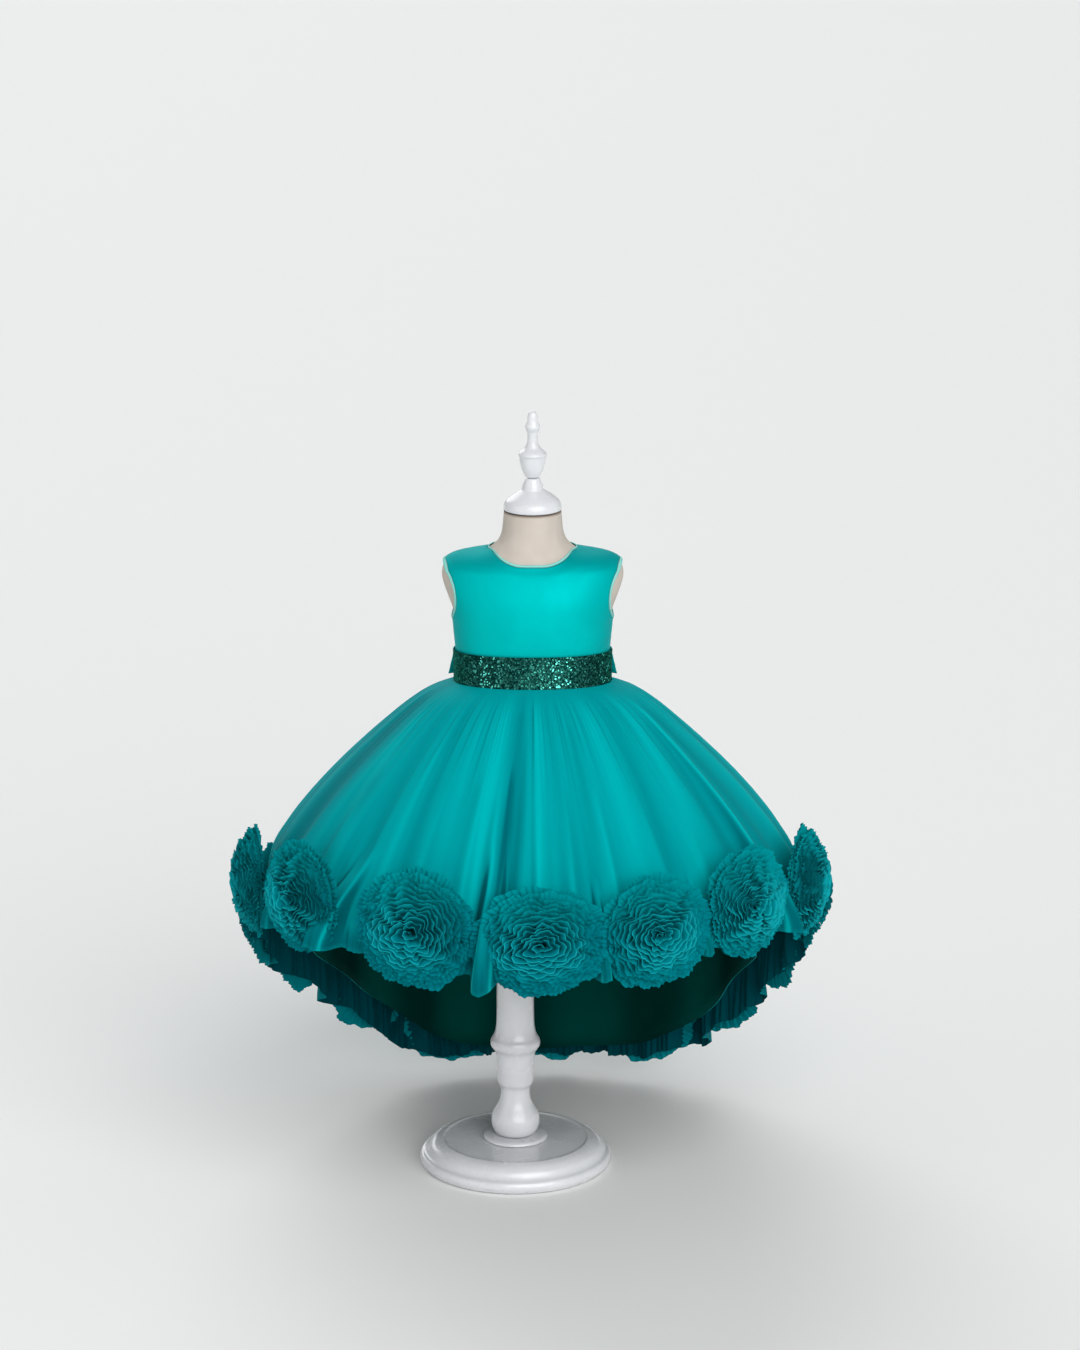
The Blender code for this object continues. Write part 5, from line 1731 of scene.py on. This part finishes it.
@dataclass(frozen=True)
class Skirts:
    """The satin underskirt and the sheer tulle overskirt, each a front and two backs."""

    tulle_across: int = 961
    tulle_rows: int = 60
    satin_across: int = 301
    satin_rows: int = 40
    row_power: float = 1.35
    satin_fold_shade: float = 0.9
    hem_waves: Waves = ((0.0022, 31, 1.0), (0.0014, 57, 0.0))
    shorter: float = 0.012
    longer_at_pleat: float = 0.003
    longer_behind: float = 0.021
    behind_waves: Waves = ((0.16, 23, 2.0),)
    tones: TulleTones = TulleTones()

    def uneven_hem(self, azimuth: Array) -> Array:
        """How much lower than its table the tulle's hem hangs: uneven all round, and lower behind and at pleats.

        Args:
            azimuth: radians.

        Returns:
            Metres downward.
        """
        longer = self.longer_behind * ramp(-np.cos(azimuth), -0.25, 0.25) * (1 + sines(azimuth, self.behind_waves))
        at_pleat = self.longer_at_pleat * SKIRT.pleat(azimuth, np.ones_like(azimuth))
        return sines(azimuth, self.hem_waves) - self.shorter + at_pleat + longer

    def panel(self, layer: Layer, first: float, last: float, across: int, rows: int) -> Surface:
        """One panel from its hem up to the waist, whose radius is the layer's plain one less its folds.

        Args:
            layer: which layer.
            first: azimuth in radians where it begins.
            last: azimuth where it ends.
            across: number of columns.
            rows: number of rows, which are closer together near the waist.

        Returns:
            The panel's outer surface.
        """
        azimuth, share = np.meshgrid(np.linspace(first, last, across), np.linspace(1, 0, rows) ** self.row_power)
        satin = layer is Layer.SATIN
        top = FORM.waist(azimuth) - SKIRT_GAP
        fall = top - SKIRT.hem(layer, azimuth) + (0.0 if satin else self.uneven_hem(azimuth))
        drop = fall * share
        inward = SKIRT.folds(layer, azimuth, drop, share)
        radius = SKIRT.radius(layer, azimuth, drop) + (SATIN if satin else TULLE) / 2 - inward
        if satin:
            # Painted shade in the troughs of the satin's folds.
            values = {"tilt": self.satin_fold_shade * ramp(SKIRT.large_fold(layer, azimuth), 0.0, 2 * SKIRT.satin_depth)}
        else:
            spacing = radius * (last - first) / (across - 1)
            values = self.tones.values(azimuth, share, fall, inward, spacing)
        return Surface(FORM.place(azimuth, radius, top - drop), values=values)

    def build(self, wardrobe: Wardrobe) -> None:
        """Builds both layers.

        Args:
            wardrobe: the finishes.
        """
        stretches = (("front", -math.pi / 2, math.pi / 2, 1.0), ("back_left", math.pi / 2, math.pi, 0.5),
                     ("back_right", -math.pi, -math.pi / 2, 0.5))
        for word, first, last, part in stretches:
            node = f"satin_skirt_{word}"
            surface = self.panel(Layer.SATIN, first, last, int(self.satin_across * part) + 1, self.satin_rows)
            finishes = [wardrobe.satin, wardrobe.satin_inside_shaded]
            obj = settle(cloth_piece(f"{node}_cloth", [surface], finishes, CLOTH), "satin", node)
            declare_sheet([surface])
        for word, first, last, part in stretches:
            node = f"tulle_skirt_{word}"
            surface = self.panel(Layer.TULLE, first, last, int(self.tulle_across * part) + 1, self.tulle_rows)
            obj = settle(cloth_piece(f"{node}_net", [surface], [wardrobe.tulle]), "tulle", node)
            declare_sheet([surface])


@dataclass(frozen=True)
class Rosette:
    """One round rosette: a long gathered strip coiled from the middle out, in front of two frilled rings."""

    number: int
    azimuth: float
    radius: float
    depth: float = 0.034
    below_hem: float = 0.006
    squash: float = 0.97
    stretch: float = 1.0
    reach: float = 1.1
    more_behind: float = 0.17
    off_skirt: float = 0.0045
    turns: float = 12.0
    columns: int = 2300
    coil_rises: tuple[float, ...] = (0.0, 0.38, 0.68, 0.87, 1.0)
    lobes: Table = Table(("size", "count", "seeds", "drift", "fades"), (
        (0.045, 5, 1, 3, 0), (0.04, 9, -2, -5, 1), (0.022, 14, 1, 8, 0),
    ))
    oval: float = 0.28
    pear: float = 0.12
    wave_length: float = 0.019
    wave_size: float = 0.0019
    comb_length: float = 0.0068
    comb_size: float = 0.0011
    comb_wave: float = 0.0004
    crown_wave: float = 0.0022
    lip: float = 0.0011
    frill_columns: int = 380
    frill_rows: int = 4
    frill_length: float = 0.006
    frill_ripple: float = 0.0018
    front_frill: tuple[float, float, float, float] = (0.6, 1.03, 0.006, 0.0095)
    back_frill: tuple[float, float, float] = (0.06, 0.0005, 0.003)
    core_rings: tuple[float, ...] = (1.0, 0.8, 0.6, 0.35, 0.1)
    core_columns: int = 60
    core_share: float = 0.94
    light_share: float = 0.72
    fade_from: float = 0.12
    fade_to: float = 0.88
    fade_aside: float = 0.55

    def frame_of(self) -> tuple[Array, Array, Array, Array]:
        """The middle of its back, and the ways along the hem, up the skirt and outward.

        Returns:
            The point and the three unit vectors.
        """
        azimuth, step = math.radians(self.azimuth), math.radians(1)
        at = azimuth + np.array([-step, 0.0, step])
        heights = SKIRT.hem(Layer.TULLE, at)
        before, hem, after = self.skirt_point(at, heights)
        above = self.skirt_point(np.array(azimuth), heights[1] + 0.01)
        along = (after - before) / np.linalg.norm(after - before)
        outward = np.cross(along, above - hem)
        outward /= np.linalg.norm(outward)
        up = np.cross(outward, along)
        middle = hem + up * (self.radius - self.below_hem)
        middle_azimuth = math.atan2(middle[0] - FORM.axis_x, -middle[1])
        seat = self.skirt_point(np.array(middle_azimuth), middle[2])
        return seat + outward * (TULLE + self.off_skirt), along, up, outward

    @staticmethod
    def skirt_point(azimuth: Array, height: Array) -> Array:
        """A point on the overskirt, before its folds."""
        drop = FORM.waist(azimuth) - SKIRT_GAP - height
        return FORM.place(azimuth, SKIRT.radius(Layer.TULLE, azimuth, drop), height)

    def placed(self, turn: Array, radial: Array, height: Array) -> Array:
        """Points at a turn, a distance from the rosette's middle and a height off its back.

        Args:
            turn: radians round its middle.
            radial: metres from its middle.
            height: metres off its back.

        Returns:
            Points by 3.
        """
        seat, along, up, outward = self.frame_of()
        flat = self.stretch * np.cos(turn)[..., None] * along + self.squash * np.sin(turn)[..., None] * up
        return seat + radial[..., None] * flat + height[..., None] * outward

    def painted_light(self) -> float:
        """Painted light: how much lighter its crevices are painted, where the skirt turns away to the sides and back.
        """
        return self.light_share * float(ramp(-math.cos(math.radians(self.azimuth + 8)), -1.05, -0.25))

    def faded(self, turn: Array, radial: Array) -> Array:
        """How much the cloth takes on the skirt's tone: up to 1 at the rosette's top edge, and more at the sides as
        painted light.
        """
        higher = ramp(np.sin(turn) * radial / self.radius, self.fade_from, self.fade_to)
        return np.clip(higher + self.fade_aside * self.painted_light(), 0, 1)

    def spiral(self, turn: Array, share: Array, seed: float) -> Array:
        """Radius of the coil's free edge: a spiral made uneven by waves that neighbouring turns share.

        Args:
            turn: radians along the spiral.
            share: how far along the strip, from 0 in the middle to 1.
            seed: the rosette's own start of the waves.

        Returns:
            The radius in metres.
        """
        middle = self.oval * np.cos(2 * turn - 0.6 * np.sin(seed)) + self.pear * np.sin(3 * turn + 2 * seed)
        uneven = 1 + middle * (1 - share) ** 1.5
        for size, count, seeds, drift, fades in self.lobes.rows:
            uneven = uneven + size * np.sin(count * turn + seeds * seed + drift * share) * (1.3 - share) ** fades
        return self.radius * (0.02 + 0.98 * share**0.85) * uneven

    def coil(self) -> Surface:
        """The coiled strip, which stands up in the middle and leans further out with each turn.

        Its free edge follows the spiral under a low dome. Slow waves along the strip, larger towards its free
        edge, make it wind; quick ones comb the outer turns, and the free edge turns out in a narrow lip.

        Returns:
            The strip's surface.
        """
        share = np.linspace(0, 1, self.columns) ** 0.54
        turn, seed = 2 * math.pi * self.turns * share, 1.7 * self.number
        rise = np.array(self.coil_rises)[:, None]
        outer = ramp(share, 0.5, 0.9)
        free = self.spiral(turn, share, seed)
        lean, width = np.radians(16 + 54 * share), 0.011 + 0.008 * share
        length = np.concatenate([[0.0], np.cumsum((free[1:] + free[:-1]) / 2 * np.diff(turn))])
        drift = sines(turn, ((1.9, 1.31, seed), (1.4, 2.23, -2 * seed)))
        slow = 2 * math.pi * length / self.wave_length + drift
        quick = 2 * math.pi * length / self.comb_length + 2 * drift
        wave = self.wave_size * (1 - 0.3 * share) * np.sin(slow) + self.comb_wave * np.sin(quick)
        comb = self.comb_size * outer * np.sin(quick + 0.8) * (1 + 0.5 * np.sin(0.31 * slow))
        crown = self.depth * (1 - 0.7 * (free / self.radius) ** 2.8 - 0.2 * bell(share, 0.12))
        crown += self.crown_wave * np.sin(0.47 * slow + 1) * (1 - 0.4 * share)
        back, grown, lip = width * (1 - rise), rise**1.3, self.lip * (rise > 0.9) * (1 - 0.5 * outer)
        radial = free - back * np.sin(lean) + wave * grown + lip
        height = crown - back * np.cos(lean) + comb * grown
        # Painted shade low in the strip, a painted highlight on its free edge, and painted light for rosettes at the
        # sides.
        painted_light = self.painted_light()
        values = {"rise": painted_light + (1 - painted_light) * rise * (1 - 0.15 * outer), "faded": self.faded(turn, radial)}
        return Surface(self.placed(turn + 0 * radial, np.maximum(radial, 0.0005), height), values=values)

    def frill(self, inner: float, outer: float, low: float, high: float, seed: float) -> Surface:
        """A frilled ring behind the coil: its height and rim go in and out with fine radial ripples.

        Args:
            inner: its inner radius as a share of the rosette's.
            outer: its rim as a share of the rosette's radius.
            low: height of its inner edge off the rosette's back.
            high: height of its rim.
            seed: start of its ripples.

        Returns:
            The ring's surface.
        """
        turn = np.linspace(0, 2 * math.pi, self.frill_columns, endpoint=False)
        rise = np.linspace(0, 1, self.frill_rows)[:, None]
        count = round(2 * math.pi * self.radius / self.frill_length)
        phase = count * turn + sines(turn, ((2.6, 3, seed), (1.6, 7, -seed)))
        wave = sines(phase, ((0.8, 1, 0.0), (0.5, 0.5, seed), (0.3, 2, seed)))
        scallop = 1 + sines(turn, ((0.03, 5, seed), (0.024, 11, 2 * seed), (0.014, 23, 3 * seed)))
        reach = self.radius * (inner + (outer * scallop - inner) * rise) + 0.0004 * wave * rise**2
        height = low + (high - low) * rise + self.frill_ripple * wave * rise
        # Painted shade towards the frill's inner edge, lighter out to its rim.
        values = {"rise": 0.3 + 0.5 * rise + 0 * reach, "faded": self.faded(turn, reach)}
        return Surface(self.placed(turn + 0 * reach, reach, height), True, values)

    def core(self) -> Surface:
        """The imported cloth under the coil: a dome two thirds as high, whose height falls with its radius cubed.

        Returns:
            The dome's surface.
        """
        turns = np.linspace(0, 2 * math.pi, self.core_columns, endpoint=False)
        turn, out = np.meshgrid(turns, np.array(self.core_rings))
        height = self.depth * (0.64 - 0.52 * out**3)
        # Painted shade under the coil, lighter for rosettes at the sides.
        values = {"rise": 0.2 + self.painted_light() + 0 * turn, "faded": self.faded(turn, self.radius * out)}
        return Surface(self.placed(turn, self.core_share * self.radius * out, height), True, values)

    def build(self, wardrobe: Wardrobe) -> None:
        """Builds the rosette.

        Args:
            wardrobe: the finishes.
        """
        seed = 2.3 * self.number
        inner, low, high = self.back_frill
        reach = self.reach + self.more_behind * (abs(self.azimuth) > 90)
        surfaces = [self.frill(*self.front_frill, seed), self.frill(inner, reach, low, high, seed + 1.9),
                    self.core(), self.coil()]
        node = f"rosette_{self.number:02d}"
        obj = settle(cloth_piece(f"{node}_ruffle", surfaces, [wardrobe.ruffle]), "rosette_tulle", node)
        declare_sheet(surfaces)


ROSETTES = (
    Rosette(1, 2.0, 0.069, squash=0.89, stretch=1.09),
    Rosette(2, 29.5, 0.066), Rosette(3, 52.5, 0.064), Rosette(4, 75.5, 0.064), Rosette(5, 95.5, 0.062),
    Rosette(6, 112.0, 0.062), Rosette(7, 129.0, 0.061), Rosette(8, 152.5, 0.06),
    Rosette(9, 175.5, 0.06), Rosette(10, -161.5, 0.06), Rosette(11, -136.5, 0.06), Rosette(12, -117.5, 0.062),
    Rosette(13, -99.5, 0.062), Rosette(14, -81.0, 0.064), Rosette(15, -58.0, 0.064), Rosette(16, -28.0, 0.07),
)


# ---- The studio ----
@dataclass(frozen=True)
class Lamp:
    """One soft lamp: a wide, far one that lights everything evenly, or a soft box."""

    name: str
    kind: LampKind
    place: tuple[float, float, float]
    size: float
    power: float
    aim: tuple[float, float, float] = (0.02, 0.0, 0.5)

    def build(self) -> None:
        """Puts the lamp into the scene, turned to what it lights."""
        data = bpy.data.lights.new(self.name, self.kind.value)
        data.energy = self.power
        if self.kind is LampKind.FAR:
            data.angle = math.radians(self.size)
        else:
            data.size = self.size
        lamp = bpy.data.objects.new(self.name, data)
        lamp.location = self.place
        lamp.rotation_euler = (Vector(self.aim) - Vector(self.place)).to_track_quat("-Z", "Y").to_euler()
        bpy.context.scene.collection.objects.link(lamp)


@dataclass(frozen=True)
class Studio:
    """The camera, the soft light and the pale floor."""

    camera_place: tuple[float, float, float] = (0.031, -5.577, 2.163)
    camera_down: float = 15.3
    focal_pixels: float = 4700.0
    picture_height: float = 1350.0
    sensor: float = 36.0
    lamps: tuple[Lamp, ...] = (
        Lamp("key_lamp", LampKind.FAR, (1.2, -2.9, 2.4), 55.0, 2.24),
        Lamp("fill_lamp", LampKind.FAR, (-3.0, -1.5, 1.3), 50.0, 0.38),
        Lamp("back_lamp", LampKind.FAR, (-0.8, 2.8, 2.2), 50.0, 1.15),
        Lamp("soft_box", LampKind.BOX, (-0.1, -2.6, 1.9), 2.0, 4.0),
    )
    room: Colour = srgb(226, 230, 234)
    room_strength: float = 0.42
    floor: Colour = srgb(240, 240, 238)
    floor_half: float = 60.0
    floor_drop: float = 0.0005

    def build(self) -> None:
        """Builds the studio."""
        data = bpy.data.cameras.new("camera")
        data.sensor_width = self.sensor
        data.lens = self.focal_pixels / self.picture_height * self.sensor
        camera = bpy.data.objects.new("camera", data)
        camera.location = self.camera_place
        camera.rotation_euler = (math.radians(90 - self.camera_down), 0, 0)
        scene = bpy.context.scene
        scene.collection.objects.link(camera)
        scene.camera = camera
        scene.view_settings.view_transform = "Standard"
        for lamp in self.lamps:
            lamp.build()
        world = bpy.data.worlds.new("soft_room")
        world.use_nodes = True
        background = world.node_tree.nodes["Background"]
        background.inputs["Color"].default_value = self.room
        background.inputs["Strength"].default_value = self.room_strength
        scene.world = world
        corners = np.array([[-1, -1, 0], [1, -1, 0], [1, 1, 0], [-1, 1, 0]]) * self.floor_half
        corners = corners - [0, 0, self.floor_drop]
        material, _, _ = start_material("pale_floor", base_color=self.floor, roughness=0.75)
        mesh_piece("floor", corners, np.array([[0, 1, 2, 3]]), [material])


def main() -> None:
    """Builds the stand, the gown and the studio in order."""
    logging.basicConfig(level=logging.INFO, format="%(name)s %(message)s")
    Studio().build()
    wardrobe = Wardrobe()
    Stand().build(wardrobe)
    Torso().build(wardrobe)
    Bodice().build(wardrobe)
    Belt().build(wardrobe)
    Skirts().build(wardrobe)
    for rosette in ROSETTES:
        rosette.build(wardrobe)


if __name__ == "__main__":
    main()
